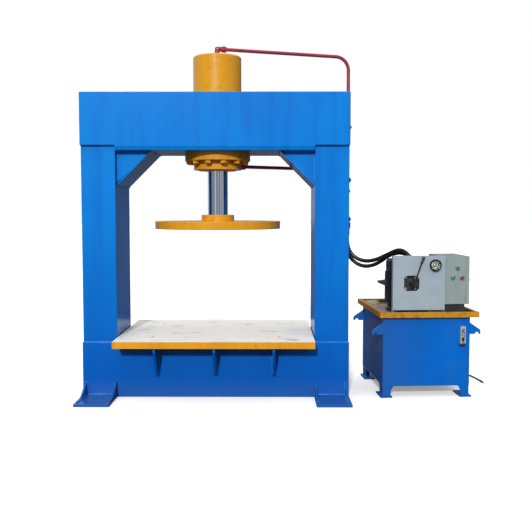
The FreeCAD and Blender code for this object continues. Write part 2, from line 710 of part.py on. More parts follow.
def pump():
    """The gear pump hangs under the lid, inside the tank, on the motor's shaft."""
    u, v = MOTOR_U, MOTOR_V
    bell = turned([(58, 0), (65.5, 0), (65.5, 155), (58, 155)], u, v, TANK_TOP + LID_T - 155)
    body = block(u - 45, v - 62, 236, u + 45, v + 62, 336).cut(rod(u, v, 300, 14.5, 40))
    pickup = tube(u - 30, v, 150, 14, 11, 86)
    strainer = turned([(14, 0), (34, 0), (34, 62), (14, 62)], u - 30, v, 88)
    export("gear_pump", in_unit(bell), in_unit(body),
           in_unit(pickup.fuse(strainer).removeSplitter()))


# ---------------------------------------------------------------- power unit: valve and gauge
def cover_panel():
    """The bent sheet that hides the valve, with the lever's hole and the gauge's hole."""
    t, f = PANEL_T, PANEL_FLANGE
    u0, u1, v, z0, z1 = PANEL_U0, PANEL_U1, PANEL_V, FLOOR_Z, PANEL_TOP
    sheet = block(u0, v, PANEL_LOW, u1, v + t, z1)
    sheet = sheet.fuse(block(u0, v, z1 - t, u1, v + f, z1))
    sheet = sheet.fuse(block(u0, v, z0, u0 + t, v + f, z1))
    sheet = sheet.fuse(block(u1 - t, v, z0, u1, v + f, z1))
    sheet = sheet.fuse(block(u0 - 14, v, z0, u0, v + f, z0 + t))
    h, c = 46.0, 16.0
    hole = []
    for su, sz, first in ((1, 1, True), (-1, 1, False), (-1, -1, True), (1, -1, False)):
        corner = [(VALVE_U + su * h, VALVE_Z + sz * (h - c)),
                  (VALVE_U + su * (h - c), VALVE_Z + sz * h)]
        hole += corner if first else corner[::-1]
    sheet = sheet.cut(sheet_xz(hole, v - 1, t + 2))
    sheet = sheet.cut(rod(GAUGE_U, v - 1, GAUGE_Z, 30.5, t + 2, V(0, 1, 0)))
    return sheet.removeSplitter()


def valve(manifold_ends):
    u, z = VALVE_U, VALVE_Z
    face = V(0, -1, 0)
    body = block(u - 38, 62, z - 44, u + 38, 120, z + 44)
    body = body.fuse(rod(u - 38, 90, z, 20, 22, V(-1, 0, 0)))
    boss = rod(LEVER_U, 62, z, 20, 39, face).fuse(rod(LEVER_U, 38, z, 12 - RUNNING, 35, face))
    body = body.fuse(boss).removeSplitter()
    screws = []
    for du in (-30, 30):
        for dz in (-35, 35):
            body = body.cut(rod(u + du, 62, z + dz, 5.2, 40, V(0, 1, 0)))
            head = rod(u + du, 56, z + dz, 8, 6, V(0, 1, 0))
            stem = rod(u + du, 62, z + dz, 5, 38, V(0, 1, 0))
            socket = hexagon(u + du, 56, z + dz, 8, 4, V(0, 1, 0))
            screws.append(head.fuse(stem).cut(socket))
    low, right = 610.0, u + 126
    manifold = block(u - 44, 120, low, right, 200, MANIFOLD_TOP).fuse(
        block(u + 42, 92, low, right, 120, MANIFOLD_TOP)).removeSplitter()
    brackets = [block(u - 44, v, FLOOR_Z, right, v + 6, low) for v in (122, 192)]
    relief = hexagon(right, 160, 650, 32, 18, V(1, 0, 0)).fuse(
        rod(right + 18, 160, 650, 17, 30, V(1, 0, 0)))
    export("valve_body", in_unit(body))
    adaptors = []
    placed = in_unit(manifold)
    for at, outward in manifold_ends:
        adaptors.append(hose_adaptor(at, outward).cut(placed))
    export("valve_manifold", placed, *[in_unit(b) for b in brackets],
           in_unit(relief.removeSplitter()))
    export("hose_adaptors", *adaptors)
    hub = tube(LEVER_U, 22, z, 21, 12, 18, face)
    a = math.radians(LEVER_LEAN)
    along = V(math.sin(a), 0, math.cos(a))
    pivot = V(LEVER_U, 13, LEVER_Z)
    root = pivot + along * 18
    arm = rod(root.x, root.y, root.z, 4.5, LEVER_L - 58, along)
    lever = hub.fuse(arm).cut(rod(LEVER_U, 24, z, 12, 24, face)).removeSplitter()
    start = pivot + along * (LEVER_L - 40)
    grip = turned([(0, 0), (6.5, 0), (8.5, 8), (10, 34), (8.5, 41), (4, 44), (0, 44)],
                  start.x, start.y, start.z, along)
    export("valve_lever", in_unit(lever))
    export("lever_grip", in_unit(grip))
    return screws


def hose_adaptor(at, outward):
    """A hexagonal adaptor that carries a hose's ferrule down into the manifold's top."""
    body = rod(at.x, at.y, at.z, 13, (at.z - MANIFOLD_TOP + 15) / -outward.z, outward)
    nut = hexagon(at.x, at.y, at.z, 36, 18, outward)
    return body.fuse(nut).removeSplitter()


def gauge():
    u, z, v = GAUGE_U, GAUGE_Z, PANEL_V
    back = V(0, 1, 0)
    case = turned([(0, 0), (0, 28), (30, 28), (30, 10), (GAUGE_R, 10), (GAUGE_R, -10),
                   (31, -13), (28.5, -11), (28.5, 6), (2, 6), (2, 0)], u, v - 10, z, back)
    dial = tube(u, v - 6, z, 28.4, 2.2, 1.5, back)
    pointer = polygon([(0, 0, -7), (1.6, 0, -6), (0.5, 0, 24), (-0.5, 0, 24), (-1.6, 0, -6)])
    pointer = pointer.extrude(V(0, 1, 0)).fuse(rod(0, -1.2, 0, 3, 2.2, back))
    pointer = pointer.cut(rod(0, -0.5, 0, 2 + RUNNING, 2, back))
    pointer.rotate(V(0, 0, 0), V(0, 1, 0), -135)
    pointer.translate(V(u, v - 9.5, z))
    glass = rod(u, v - 16, z, 28.4, 2, back)
    export("gauge_case", in_unit(case))
    export("gauge_dial", in_unit(dial))
    export("gauge_pointer", in_unit(pointer.removeSplitter()))
    export("gauge_glass", in_unit(glass))


# ---------------------------------------------------------------- power unit: control box
BUTTONS = {"pilot_lamp": (468.0, 774.0), "start_button": (440.0, 715.0),
           "stop_button": (496.0, 714.0)}


def control_box():
    t = BOX_T
    u0, u1, v0, v1, z0, z1 = BOX_U0, BOX_U1, BOX_V0, BOX_V1, BOX_Z0, BOX_Z1
    shell = block(u0, v0, z0, u1, v1, z1).cut(block(u0 + t, v0 + t, z0 + t, u1, v1 - t, z1 - t))
    bezels = []
    for u, z in BUTTONS.values():
        shell = shell.cut(rod(u, v0, z, 11.2, t, V(0, 1, 0)))
        ring = tube(u, v0 - 5, z, 15, 10.3, 5, V(0, 1, 0))
        ring = chamfered(ring, 1.5, lambda e: circular(e, 15) and e.CenterOfMass.y < v0 - 4)
        ring = ring.fuse(tube(u, v0, z, 11, 10.3, 26, V(0, 1, 0)))
        bezels.append(in_unit(ring.removeSplitter()))
    gland_u, gland_z = 418.0, 588.0
    shell = shell.cut(rod(gland_u, v1 - t, gland_z, 8.2, t, V(0, 1, 0)))
    export("control_box", in_unit(shell))
    export("button_bezels", *bezels)
    back = V(0, 1, 0)
    for name in ("start_button", "stop_button"):
        u, z = BUTTONS[name]
        cap = rod(u, v0 - 9, z, 10.2, 24, back)
        export(name, in_unit(chamfered(cap, 1.2, lambda e: e.CenterOfMass.y < v0 - 8.9)))
    u, z = BUTTONS["pilot_lamp"]
    lens = turned([(0, 24), (10.3, 24), (10.3, -3), (8.6, -8), (5, -10.6), (0, -11.6)],
                  u, v0, z, back)
    export("pilot_lamp", in_unit(lens))
    door_z0, door_z1 = z0 - 1, z1 + 1
    door = block(u1 + 0.5, v0 - 1, door_z0, u1 + DOOR_T, v1 + 1, door_z1)
    door = door.cut(block(u1 + 0.5, v0 + t - 1, door_z0 + t, u1 + DOOR_T - t, v1 - t + 1,
                          door_z1 - t))
    lock = rod(u1 + DOOR_T, v0 + 26, 700, 9, 8, V(1, 0, 0)).cut(
        block(u1 + DOOR_T + 4, v0 + 24.5, 692, u1 + DOOR_T + 9, v0 + 27.5, 708))
    hinges = []
    knuckles = []
    for z in (612, 786):
        fixed, swinging = box_hinge(u1 + 10, v1, z)
        hinges.append(in_unit(fixed))
        knuckles.append(in_unit(swinging))
    export("box_door", in_unit(door), in_unit(lock), *knuckles)
    export("door_hinges", *hinges)
    plate = block(u0 + t + 6, v0 + 40, z0 + 30, u0 + t + 9, v1 - 30, z1 - 24)
    face = u0 + t + 9
    contactor = block(face, v0 + 80, 700, face + 70, v0 + 150, 786)
    relay = block(face, v0 + 82, 612, face + 66, v0 + 148, 692)
    transformer = block(face, v0 + 190, 690, face + 68, v0 + 280, 770)
    terminals = block(face, v0 + 170, 610, face + 38, v0 + 300, 650)
    export("switchgear", *[in_unit(s) for s in (plate, contactor, relay, transformer, terminals)])
    gland = hexagon(gland_u, v1, gland_z, 22, 8, back).fuse(rod(gland_u, v1 + 8, gland_z, 9, 16,
                                                                 back))
    gland = gland.fuse(rod(gland_u, v1 - 10, gland_z, 8, 10, back))
    gland = gland.cut(rod(gland_u, v1 - 12, gland_z, CABLE_R, 60, back))
    export("cable_gland", in_unit(gland.removeSplitter()))
    stand_t = 3.0
    stand = block(u0 + 4, v0 + 16, FLOOR_Z, u1, v1 - 16, z0).cut(
        block(u0 + 4 + stand_t, v0 + 16 + stand_t, FLOOR_Z, u1 - stand_t, v1 - 16 - stand_t,
              z0 - stand_t))
    export("box_stand", in_unit(stand))


def box_hinge(u, v, z):
    """One door hinge: the leaf, pin and outer knuckles on the box, and the door's own knuckle."""
    axis_v = v + 7
    leaf = block(u - 36, v, z - 22, u - 12, v + 3, z + 22)
    fixed = leaf.fuse(rod(u, axis_v, z - 22, 2.5, 44))
    for low in (z - 22, z + 8):
        fixed = fixed.fuse(rod(u, axis_v, low, 5.5, 14))
        fixed = fixed.fuse(block(u - 12, v + 1.4, low, u, v + 3, low + 14))
    swinging = rod(u, axis_v, z - 7.6, 5.5, 15.2)
    swinging = swinging.fuse(block(u - 1.5, v + 1, z - 7.6, u + 1.5, v + 4, z + 7.6))
    swinging = swinging.cut(rod(u, axis_v, z - 8, 2.5 + RUNNING, 16))
    return fixed.removeSplitter(), swinging.removeSplitter()


def main():
    press_frame()
    cylinder()
    ram()
    pipes()
    manifold_ends = cords()
    tank()
    tank_corners()
    motor()
    pump()
    export("cover_panel", in_unit(cover_panel()))
    valve_screws = valve(manifold_ends)
    tank_fittings(valve_screws)
    gauge()
    control_box()


main()
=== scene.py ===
"""Looks of a straight-side hydraulic press and its power unit.

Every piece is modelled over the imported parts, in metres and in their frame. The power unit's
pieces are made in its own frame (U to the right, V to the back) and then placed with UNIT.
"""

import json
import math
from contextlib import contextmanager

import bmesh
import bpy
from mathutils import Matrix, Vector


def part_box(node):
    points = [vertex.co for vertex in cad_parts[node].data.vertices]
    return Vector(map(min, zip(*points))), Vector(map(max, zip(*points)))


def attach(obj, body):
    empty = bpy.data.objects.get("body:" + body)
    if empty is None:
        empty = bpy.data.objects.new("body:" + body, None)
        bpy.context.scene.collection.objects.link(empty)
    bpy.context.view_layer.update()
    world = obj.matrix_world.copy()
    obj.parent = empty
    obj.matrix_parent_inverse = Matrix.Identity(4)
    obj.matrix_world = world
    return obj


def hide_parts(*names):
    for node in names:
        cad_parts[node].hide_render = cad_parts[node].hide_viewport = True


bl_info = {
    "name": "Hydraulic press looks",
    "version": (1, 0, 0),
    "blender": (4, 5, 0),
    "location": "3D View > Sidebar > Press",
    "description": "Models the edges, welds, hoses, small parts and finishes of a hydraulic press",
    "category": "Object",
}

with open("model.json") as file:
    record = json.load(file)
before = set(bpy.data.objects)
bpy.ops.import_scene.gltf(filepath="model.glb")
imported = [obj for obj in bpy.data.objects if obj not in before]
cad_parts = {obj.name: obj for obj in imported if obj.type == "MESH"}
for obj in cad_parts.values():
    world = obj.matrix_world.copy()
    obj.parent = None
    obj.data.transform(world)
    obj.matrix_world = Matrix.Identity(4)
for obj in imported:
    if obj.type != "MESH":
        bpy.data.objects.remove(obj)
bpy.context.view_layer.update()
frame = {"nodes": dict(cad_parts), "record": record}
MM = 0.001
QUARTER = math.pi / 2
UNIT = Matrix.Translation((1.005, -0.273, 0)) @ Matrix.Rotation(math.radians(3.8), 4, "Z")
MERGE = 2e-6            # corners nearer than this are one corner

# The frame's sizes as the parts' source has them, in metres.
FOOT_PLATE = 0.016
STEP_RISE = 0.030       # the beam's cheeks end this much higher over the columns
HAUNCH_LIP = 0.0226     # the haunch's sloping plate, measured along the column
GUSSET_TOP = 0.092
RIB_X = (-0.350, 0, 0.350)
RIB_HALF = 0.008
CLAMPS = ((0.215, (1.660, 1.320, 1.066)), (0.275, (1.250, 1.040)))

# Where welds stop, in metres, a few millimetres inside the plates that they join.
TOE_BACK = 0.042        # from a foot plate's end
RIB_LOW = 0.140
RIB_ENDS = ((-1, -0.416), (1, 0.508))

# The power unit in its own frame: the tank and tray in metres, the centres in millimetres.
TANK_W, TANK_D, TANK_LOW, TANK_TOP = 0.525, 0.660, 0.070, 0.485
TRAY_FLOOR = 0.491
TRAY_MIDDLE = (0.262, 0.33)
MOTOR = (187, 330)
LEVER = (189, 686)
GAUGE = (317, 796)
DOOR_FACE = 541.0       # outer face of the control box's door

BODY_OF = {node: body for body, nodes in frame["record"]["behaviour"]["bodies"].items()
           for node in nodes}

# Control points of the hoses and the cable, as the parts' source has them.
UPPER_HOSE = (
    (0.832, 0.215, 0.960), (0.832, 0.215, 0.893), (0.859, 0.204, 0.838), (0.906, 0.186, 0.803),
    (0.962, 0.161, 0.794), (1.016, 0.130, 0.808), (1.062, 0.097, 0.834), (1.103, 0.057, 0.859),
    (1.138, 0.014, 0.877), (1.170, -0.030, 0.868), (1.194, -0.068, 0.836), (1.206, -0.090, 0.790),
)
LOWER_HOSE = (
    (0.832, 0.275, 0.935), (0.832, 0.275, 0.865), (0.859, 0.264, 0.808), (0.905, 0.244, 0.768),
    (0.956, 0.216, 0.756), (1.006, 0.190, 0.768), (1.049, 0.164, 0.795), (1.087, 0.132, 0.830),
    (1.125, 0.084, 0.851), (1.160, 0.030, 0.856), (1.193, -0.019, 0.846), (1.225, -0.057, 0.812),
    (1.246, -0.080, 0.767),
)
SUPPLY_CABLE = (
    (1.394, 0.200, 0.588), (1.393, 0.268, 0.588), (1.392, 0.336, 0.585), (1.391, 0.402, 0.576),
    (1.391, 0.464, 0.556), (1.391, 0.514, 0.518), (1.391, 0.543, 0.462), (1.391, 0.556, 0.396),
    (1.391, 0.560, 0.326), (1.391, 0.562, 0.256), (1.393, 0.568, 0.188), (1.398, 0.579, 0.122),
    (1.408, 0.595, 0.066), (1.429, 0.614, 0.026), (1.470, 0.631, 0.007), (1.532, 0.627, 0.0055),
    (1.584, 0.592, 0.0055), (1.623, 0.537, 0.0055), (1.651, 0.474, 0.0055),
    (1.671, 0.407, 0.0055), (1.687, 0.338, 0.0055), (1.700, 0.270, 0.0055),
    (1.708, 0.205, 0.0055), (1.712, 0.147, 0.0055),
)


def linear(code):
    """A linear colour with alpha from an sRGB hex code such as '#1C74D8'."""
    parts = [int(code[i:i + 2], 16) / 255 for i in (1, 3, 5)]
    return [c / 12.92 if c <= 0.04045 else ((c + 0.055) / 1.055) ** 2.4 for c in parts] + [1.0]


def colour_property(name, code, description):
    return bpy.props.FloatVectorProperty(name=name, description=description, size=4, min=0, max=1,
                                         subtype="COLOR", default=linear(code))


def length_property(name, millimetres, description):
    return bpy.props.FloatProperty(name=name, description=description, unit="LENGTH",
                                   default=millimetres * MM, min=0, precision=4)


class PressColours(bpy.types.PropertyGroup):
    """The finishes' main colours."""
    blue: colour_property("Frame blue", "#0273CB", "Enamel on the frame")
    # The low frame blue is painted shade, drawn on the frame towards the floor.
    painted_shade_blue: colour_property("Frame blue, low", "#0252A8", "The frame's enamel near the floor")
    amber: colour_property("Amber", "#D69508", "Enamel on the cylinder, platen and tray")
    # The second amber draws the upright streaks: painted reflection.
    amber_streak_reflection: colour_property("Amber, shaded", "#C98905", "Thin or stained amber enamel")
    red: colour_property("Pipe red", "#9C2A36", "Enamel on the oil pipes")
    panel: colour_property("Panel grey", "#93A2AC", "Powder coat on the valve's cover")
    box: colour_property("Box grey", "#849291", "Powder coat on the control box")


class PressSizes(bpy.types.PropertyGroup):
    """Sizes of the small work on the edges and joints."""
    plate_edge: length_property("Plate edge", 2.0, "Rounding of flame-cut plate edges")
    sheet_edge: length_property("Sheet edge", 0.6, "Rounding of bent sheet edges")
    weld: length_property("Weld bead", 5.0, "Radius of a fillet weld's bead")
    ripple: length_property("Weld ripple", 6.0, "Spacing of the ripples along a bead")


class PressStudio(bpy.types.PropertyGroup):
    """The camera and the lights."""
    lens: bpy.props.FloatProperty(name="Lens", description="Focal length in millimetres",
                                  default=54.42, min=10, max=200)
    key: bpy.props.FloatProperty(name="Key light", description="Strength of the key light",
                                 default=2.8, min=0)
    sky: bpy.props.FloatProperty(name="Sky", description="Strength of the surrounding light",
                                 default=0.74, min=0)


# ---------------------------------------------------------------- materials
def add_node(tree, kind, inputs=None, **settings):
    """Adds a shader node, sets what it is told, and links or fills its inputs."""
    made = tree.nodes.new("ShaderNode" + kind)
    for name, value in settings.items():
        setattr(made, name, value)
    for name, value in (inputs or {}).items():
        if isinstance(value, bpy.types.NodeSocket):
            tree.links.new(value, made.inputs[name])
        else:
            made.inputs[name].default_value = value
    return made


def noise(tree, place, size_mm, detail=3.0, stretch=(1, 1, 1)):
    """Noise whose patches are size_mm across, drawn out where stretch is below one."""
    at = place
    if stretch != (1, 1, 1):
        at = add_node(tree, "Mapping", {"Vector": place, "Scale": stretch}).outputs[0]
    return add_node(tree, "TexNoise", {"Vector": at, "Scale": 1 / (size_mm * MM),
                                       "Detail": detail}).outputs[0]


def ranged(tree, value, low, high, to_low, to_high):
    return add_node(tree, "MapRange", {"Value": value, "From Min": low, "From Max": high,
                                       "To Min": to_low, "To Max": to_high}).outputs[0]


def blended(tree, factor, first, second):
    """Goes from the first colour to the second as factor goes from 0 to 1."""
    return add_node(tree, "Mix", {0: factor, 6: first, 7: second}, data_type="RGBA").outputs[2]


def grained(name, tones, patch_mm, grain_mm, rough, relief_mm, stretch=(1, 1, 1), **sockets):
    """A finish whose tones drift over patches, with a grain in its gloss and its relief.
    Each tone is a hex code or a colour of the settings.

    Returns the material, its tree, its shader, its colour and the Object coordinates."""
    material = bpy.data.materials.new(name)
    material.use_nodes = True
    tree = material.node_tree
    shader = tree.nodes["Principled BSDF"]
    place = add_node(tree, "TexCoord").outputs["Object"]
    drift = ranged(tree, noise(tree, place, patch_mm, 4.0, stretch), 0.32, 0.68, 0, 1)
    first, second = [linear(t) if isinstance(t, str) else t for t in tones]
    colour = blended(tree, drift, first, second)
    grain = noise(tree, place, grain_mm, 2.0, stretch)
    gloss = ranged(tree, grain, 0.3, 0.7, *rough)
    bump = add_node(tree, "Bump", {"Height": grain, "Distance": relief_mm * MM, "Strength": 0.6})
    tree.links.new(colour, shader.inputs["Base Color"])
    tree.links.new(gloss, shader.inputs["Roughness"])
    tree.links.new(bump.outputs[0], shader.inputs["Normal"])
    for socket, value in sockets.items():
        shader.inputs[socket.replace("_", " ")].default_value = value
    return material, tree, shader, colour, place


def soiled(finish, dirt, size_mm, low, high, strength):
    """Lays dirt of a patch size over a finish where its noise is above low."""
    material, tree, shader, colour, place = finish
    mask = ranged(tree, noise(tree, place, size_mm, 6.0), low, high, 0, strength)
    over = blended(tree, mask, colour, linear(dirt))
    tree.links.new(over, shader.inputs["Base Color"])
    return material, tree, shader, over, place


def make_materials():
    tones = bpy.context.scene.press_colours
    made = {}

    # Alkyd enamel sprayed on hot-rolled plate, with darker upright streaks, the fine orange peel
    # and the soft reflections of a thick gloss coat; drawn darker towards the floor as painted
    # shade, and greyer in a band at its foot.
    m, tree, shader, colour, place = grained(
        "alkyd enamel, frame blue", (tones.blue, "#047ACF"), 420, 7, (0.18, 0.28), 0.12,
        Specular_IOR_Level=0.12, Coat_Weight=0.05, Coat_Roughness=0.1)
    height = add_node(tree, "SeparateXYZ", {"Vector": place}).outputs["Z"]
    # Painted shade: towards the floor the enamel goes over to the low blue.
    low = ranged(tree, height, 0.1, 1.25, 1.0, 0.0)
    painted_shade = blended(tree, low, colour, tones.painted_shade_blue)
    streak = ranged(tree, noise(tree, place, 90, 3.0, (1, 1, 0.12)), 0.42, 0.75, 0, 0.35)
    painted_shade = blended(tree, streak, painted_shade, linear("#0C46A4"))
    grey_foot_band = ranged(tree, height, 0.0, 0.12, 0.35, 0.0)
    tree.links.new(blended(tree, grey_foot_band, painted_shade, linear("#3C5E8C")), shader.inputs["Base Color"])
    made["blue"] = m

    # The same enamel on a tank that oil and workshop dust have dulled: greyer in broad patches, and
    # darker and greyer towards the tank's left end, which is painted shade.
    m, tree, shader, over, place = soiled(grained(
        "alkyd enamel, soiled tank blue with painted shade", ("#0260BA", "#0257AE"), 260, 6,
        (0.22, 0.36), 0.1, Specular_IOR_Level=0.14, Coat_Weight=0.05, Coat_Roughness=0.15),
        "#2C5C9A", 150, 0.56, 0.76, 0.35)
    # Painted shade: darker and greyer towards the left end of the tank and its legs.
    left = ranged(tree, add_node(tree, "SeparateXYZ", {"Vector": place}).outputs["X"],
                  0.95, 1.3, 0.5, 0.0)
    grey = blended(tree, left, over, linear("#2C4F82"))
    tree.links.new(grey, shader.inputs["Base Color"])
    made["tank"] = m

    # Amber enamel, brushed on by hand, with stains and a hard gloss; its two tones drift in thin
    # upright streaks, a painted reflection of the soft upright streaks of light on the glossy
    # barrel.
    made["amber"] = soiled(grained(
        "alkyd enamel, amber", (tones.amber, tones.amber_streak_reflection), 140, 5, (0.2, 0.36), 0.1,
        (1, 1, 0.2), Specular_IOR_Level=0.4, Coat_Weight=0.25, Coat_Roughness=0.1),
        "#8E560C", 60, 0.58, 0.8, 0.5)[0]

    # The same amber on the tray, dulled by oil: browner, with rubbed patches.
    made["oily_amber"] = soiled(grained(
        "alkyd enamel, oily amber", ("#BC8212", "#AC7414"), 90, 5, (0.3, 0.5), 0.1,
        Specular_IOR_Level=0.3),
        "#6E4A1C", 45, 0.5, 0.72, 0.6)[0]

    # The same blue over weld beads, drawn lighter: a painted highlight along the beads.
    made["weld_highlight_blue"] = grained(
        "alkyd enamel over weld, painted highlight", ("#2A8ADC", "#0E6CC6"), 60, 3, (0.2, 0.32),
        0.1, Specular_IOR_Level=0.3)[0]

    # Face-milled mild steel, drawn nearly white and hardly metallic: the white is a painted
    # reflection of the bright light on the bare top. Streaks along the table, grey and brown
    # smudges, and light scratches.
    m, tree, shader, over, place = soiled(grained(
        "milled mild steel, painted reflection", ("#FFFDF8", "#FAF7F0"), 90, 3, (0.34, 0.52), 0.05,
        (0.2, 1, 1), Metallic=0.05),
        "#8E8A82", 130, 0.58, 0.78, 0.6)
    scratch = ranged(tree, noise(tree, place, 14, 2.0, (0.03, 1, 1)), 0.62, 0.7, 0, 0.3)
    over = blended(tree, scratch, over, linear("#B0ACA4"))
    fine = ranged(tree, noise(tree, place, 30, 5.0), 0.63, 0.74, 0, 0.55)
    tree.links.new(blended(tree, fine, over, linear("#7A6650")), shader.inputs["Base Color"])
    made["table"] = m

    # Hard chrome ground and polished round: a mirror with faint lines along the rod.
    made["chrome"] = grained(
        "hard chrome plate", ("#DADDE2", "#C4C8D0"), 6, 2, (0.05, 0.1), 0.004,
        (1, 1, 0.01), Metallic=1.0)[0]

    # Black-oxide steel: nearly black, with a dull oily sheen.
    made["black_steel"] = grained(
        "black oxide steel", ("#3A3B3D", "#26272A"), 9, 1.5, (0.34, 0.5), 0.03,
        Metallic=0.85)[0]

    # Bright zinc plate: pale, slightly blue and softly mottled.
    made["zinc"] = grained(
        "bright zinc plate", ("#C9CCCD", "#A6ABAE"), 8, 1.2, (0.22, 0.38), 0.02,
        Metallic=1.0)[0]

    # Red oxide enamel on drawn tube: dark and glossy, with thin patches along the tube.
    made["red"] = soiled(grained(
        "red enamel on drawn tube", (tones.red, "#7E1F2B"), 50, 2.5, (0.2, 0.34), 0.05,
        Coat_Weight=0.35),
        "#3E1016", 80, 0.55, 0.75, 0.6)[0]

    # Extruded nitrile rubber hose: black, satin, with the print of its cloth wrap.
    made["rubber"] = soiled(grained(
        "wrapped nitrile rubber", ("#1B1B1D", "#121214"), 24, 1.4, (0.3, 0.46),
        0.12),
        "#34322F", 45, 0.56, 0.75, 0.5)[0]

    # Soft PVC sheath of a mains cable: dark grey, rubbed paler by the floor.
    made["sheath"] = grained(
        "soft PVC sheath", ("#3B3C3E", "#2B2C2E"), 30, 1.0, (0.4, 0.58), 0.05)[0]

    # Moulded polypropylene clamp halves: blue with a slight wax sheen.
    made["clamp"] = grained(
        "moulded polypropylene", ("#1B5FC4", "#134DA6"), 14, 1.2, (0.36, 0.5),
        0.04)[0]

    # Polyester powder coat, smooth: pale blue grey with an even fine texture.
    made["panel"] = soiled(grained(
        "polyester powder coat, panel", (tones.panel, "#8A99A3"), 120, 1.6, (0.36, 0.48),
        0.05),
        "#7F8E95", 70, 0.58, 0.78, 0.5)[0]

    # Polyester powder coat, textured: the pebbled grey of switch boxes.
    made["box"] = soiled(grained(
        "polyester powder coat, box", (tones.box, "#7C8988"), 90, 1.8, (0.42, 0.58), 0.14),
        "#72797B", 60, 0.6, 0.8, 0.4)[0]

    # Black chassis enamel over folded steel and castings: satin, dusty in patches.
    made["black"] = soiled(grained(
        "black chassis enamel", ("#222327", "#15161A"), 70, 2.2, (0.32, 0.5), 0.1,
        Coat_Weight=0.15),
        "#4A4A4A", 60, 0.56, 0.76, 0.5)[0]

    # Bright turned steel, lightly oiled.
    made["steel"] = grained(
        "bright turned steel", ("#B9BBBD", "#97999C"), 12, 1.0, (0.24, 0.4), 0.02,
        Metallic=1.0)[0]

    # Moulded phenolic: black, hard and smooth, dulled where hands hold it.
    made["phenolic"] = grained(
        "moulded phenolic", ("#1A1A1C", "#242426"), 18, 0.8, (0.24, 0.42),
        0.03)[0]

    # Stove-enamelled dial: matt off-white, faintly yellowed.
    made["dial"] = grained(
        "stove enamel, white", ("#ECECE6", "#E0DFD4"), 14, 0.6, (0.4, 0.5),
        0.01)[0]

    # Float glass: clear with a very slight green, and a film of dust in its gloss.
    made["glass"] = grained(
        "float glass", ("#F2F7F5", "#EAF2EF"), 20, 2.0, (0.02, 0.08), 0.002,
        Transmission_Weight=1.0, IOR=1.46)[0]

    # Polycarbonate caps and lens: saturated colour with a gloss skin.
    made["green"] = grained(
        "green polycarbonate", ("#12906C", "#0C7C5C"), 8, 0.8, (0.14, 0.26), 0.02,
        Coat_Weight=0.3)[0]
    made["button_red"] = grained(
        "red polycarbonate", ("#8E2A34", "#7A202A"), 8, 0.8, (0.16, 0.28), 0.02,
        Coat_Weight=0.3)[0]

    # Spilt oil and scale on the tray: black and wet at the right, pale and dry at the left.
    m, tree, shader, colour, place = grained(
        "oil sludge on enamel", ("#1E1914", "#0E0C0B"), 110, 12, (0.12, 0.42),
        0.6, Coat_Weight=0.3)
    along = add_node(tree, "SeparateXYZ", {"Vector": place}).outputs["X"]
    dry = ranged(tree, along, 1.12, 1.34, 1.0, 0.0)
    patches = ranged(tree, noise(tree, place, 60, 5.0), 0.38, 0.62, 0.25, 1.0)
    worn = add_node(tree, "Math", {0: dry, 1: patches}, operation="MULTIPLY").outputs[0]
    tree.links.new(blended(tree, worn, colour, linear("#A89C86")), shader.inputs["Base Color"])
    made["sludge"] = m

    # Hydraulic oil seen through the gauge's glass, and copper and insulation at the cable's end.
    made["oil"] = grained("hydraulic oil", ("#8A5A12", "#744808"), 20, 2,
                          (0.05, 0.1), 0.01)[0]
    made["copper"] = grained("drawn copper", ("#C77B52", "#A9623C"), 4, 0.5,
                             (0.25, 0.4), 0.02, Metallic=1.0)[0]
    for name, code in (("core_brown", "#5A3420"), ("core_blue", "#2A55A8"),
                       ("core_green", "#3E8A3A"), ("core_black", "#1C1C1E")):
        made[name] = grained("insulation, " + name, (code, code), 6, 0.8,
                             (0.35, 0.5), 0.02)[0]
    return made


# ---------------------------------------------------------------- modelling helpers
def alone(*pieces):
    """Selects just these pieces and makes the first active."""
    bpy.ops.object.select_all(action="DESELECT")
    for piece in pieces:
        piece.select_set(True)
    bpy.context.view_layer.objects.active = pieces[0]


def baked():
    """Bakes the place, turn and size of what is selected into its mesh."""
    bpy.ops.object.transform_apply(location=True, rotation=True, scale=True)
    return bpy.context.object


def primitive(kind, **settings):
    """A primitive at its size and place, added with nothing else selected."""
    bpy.ops.object.select_all(action="DESELECT")
    getattr(bpy.ops.mesh, f"primitive_{kind}_add")(**settings)
    return baked()


@contextmanager
def editing(piece, mode="VERT"):
    """Edit mode on one piece, with all of it selected."""
    alone(piece)
    bpy.ops.object.mode_set(mode="EDIT")
    bpy.ops.mesh.select_mode(type=mode)
    bpy.ops.mesh.select_all(action="SELECT")
    yield
    bpy.ops.object.mode_set(mode="OBJECT")


def twin(piece):
    """A copy of a piece with its own mesh."""
    made = piece.copy()
    made.data = piece.data.copy()
    bpy.context.scene.collection.objects.link(made)
    return made


def placed(piece, matrix):
    """Moves a piece and bakes the move into its mesh."""
    alone(piece)
    piece.matrix_world = matrix @ piece.matrix_world
    return baked()


def joined(pieces):
    alone(*pieces)
    if len(pieces) > 1:
        bpy.ops.object.join()
    return bpy.context.object


def smooth(piece, degrees=38):
    alone(piece)
    bpy.ops.object.shade_smooth_by_angle(angle=math.radians(degrees))
    return piece


def applied(piece, kind, **settings):
    """Adds a modifier with its settings and applies it."""
    alone(piece)
    modifier = piece.modifiers.new(kind.title(), kind)
    for name, value in settings.items():
        setattr(modifier, name, value)
    bpy.ops.object.modifier_apply(modifier=modifier.name)
    return piece


def pick_faces(piece, wanted):
    """Selects, in edit mode, the faces for which wanted(centre, normal) is true."""
    bpy.ops.mesh.select_mode(type="FACE")
    bpy.ops.mesh.select_all(action="DESELECT")
    mesh = bmesh.from_edit_mesh(piece.data)
    for face in mesh.faces:
        face.select_set(wanted(face.calc_center_median(), face.normal))
    bmesh.update_edit_mesh(piece.data)


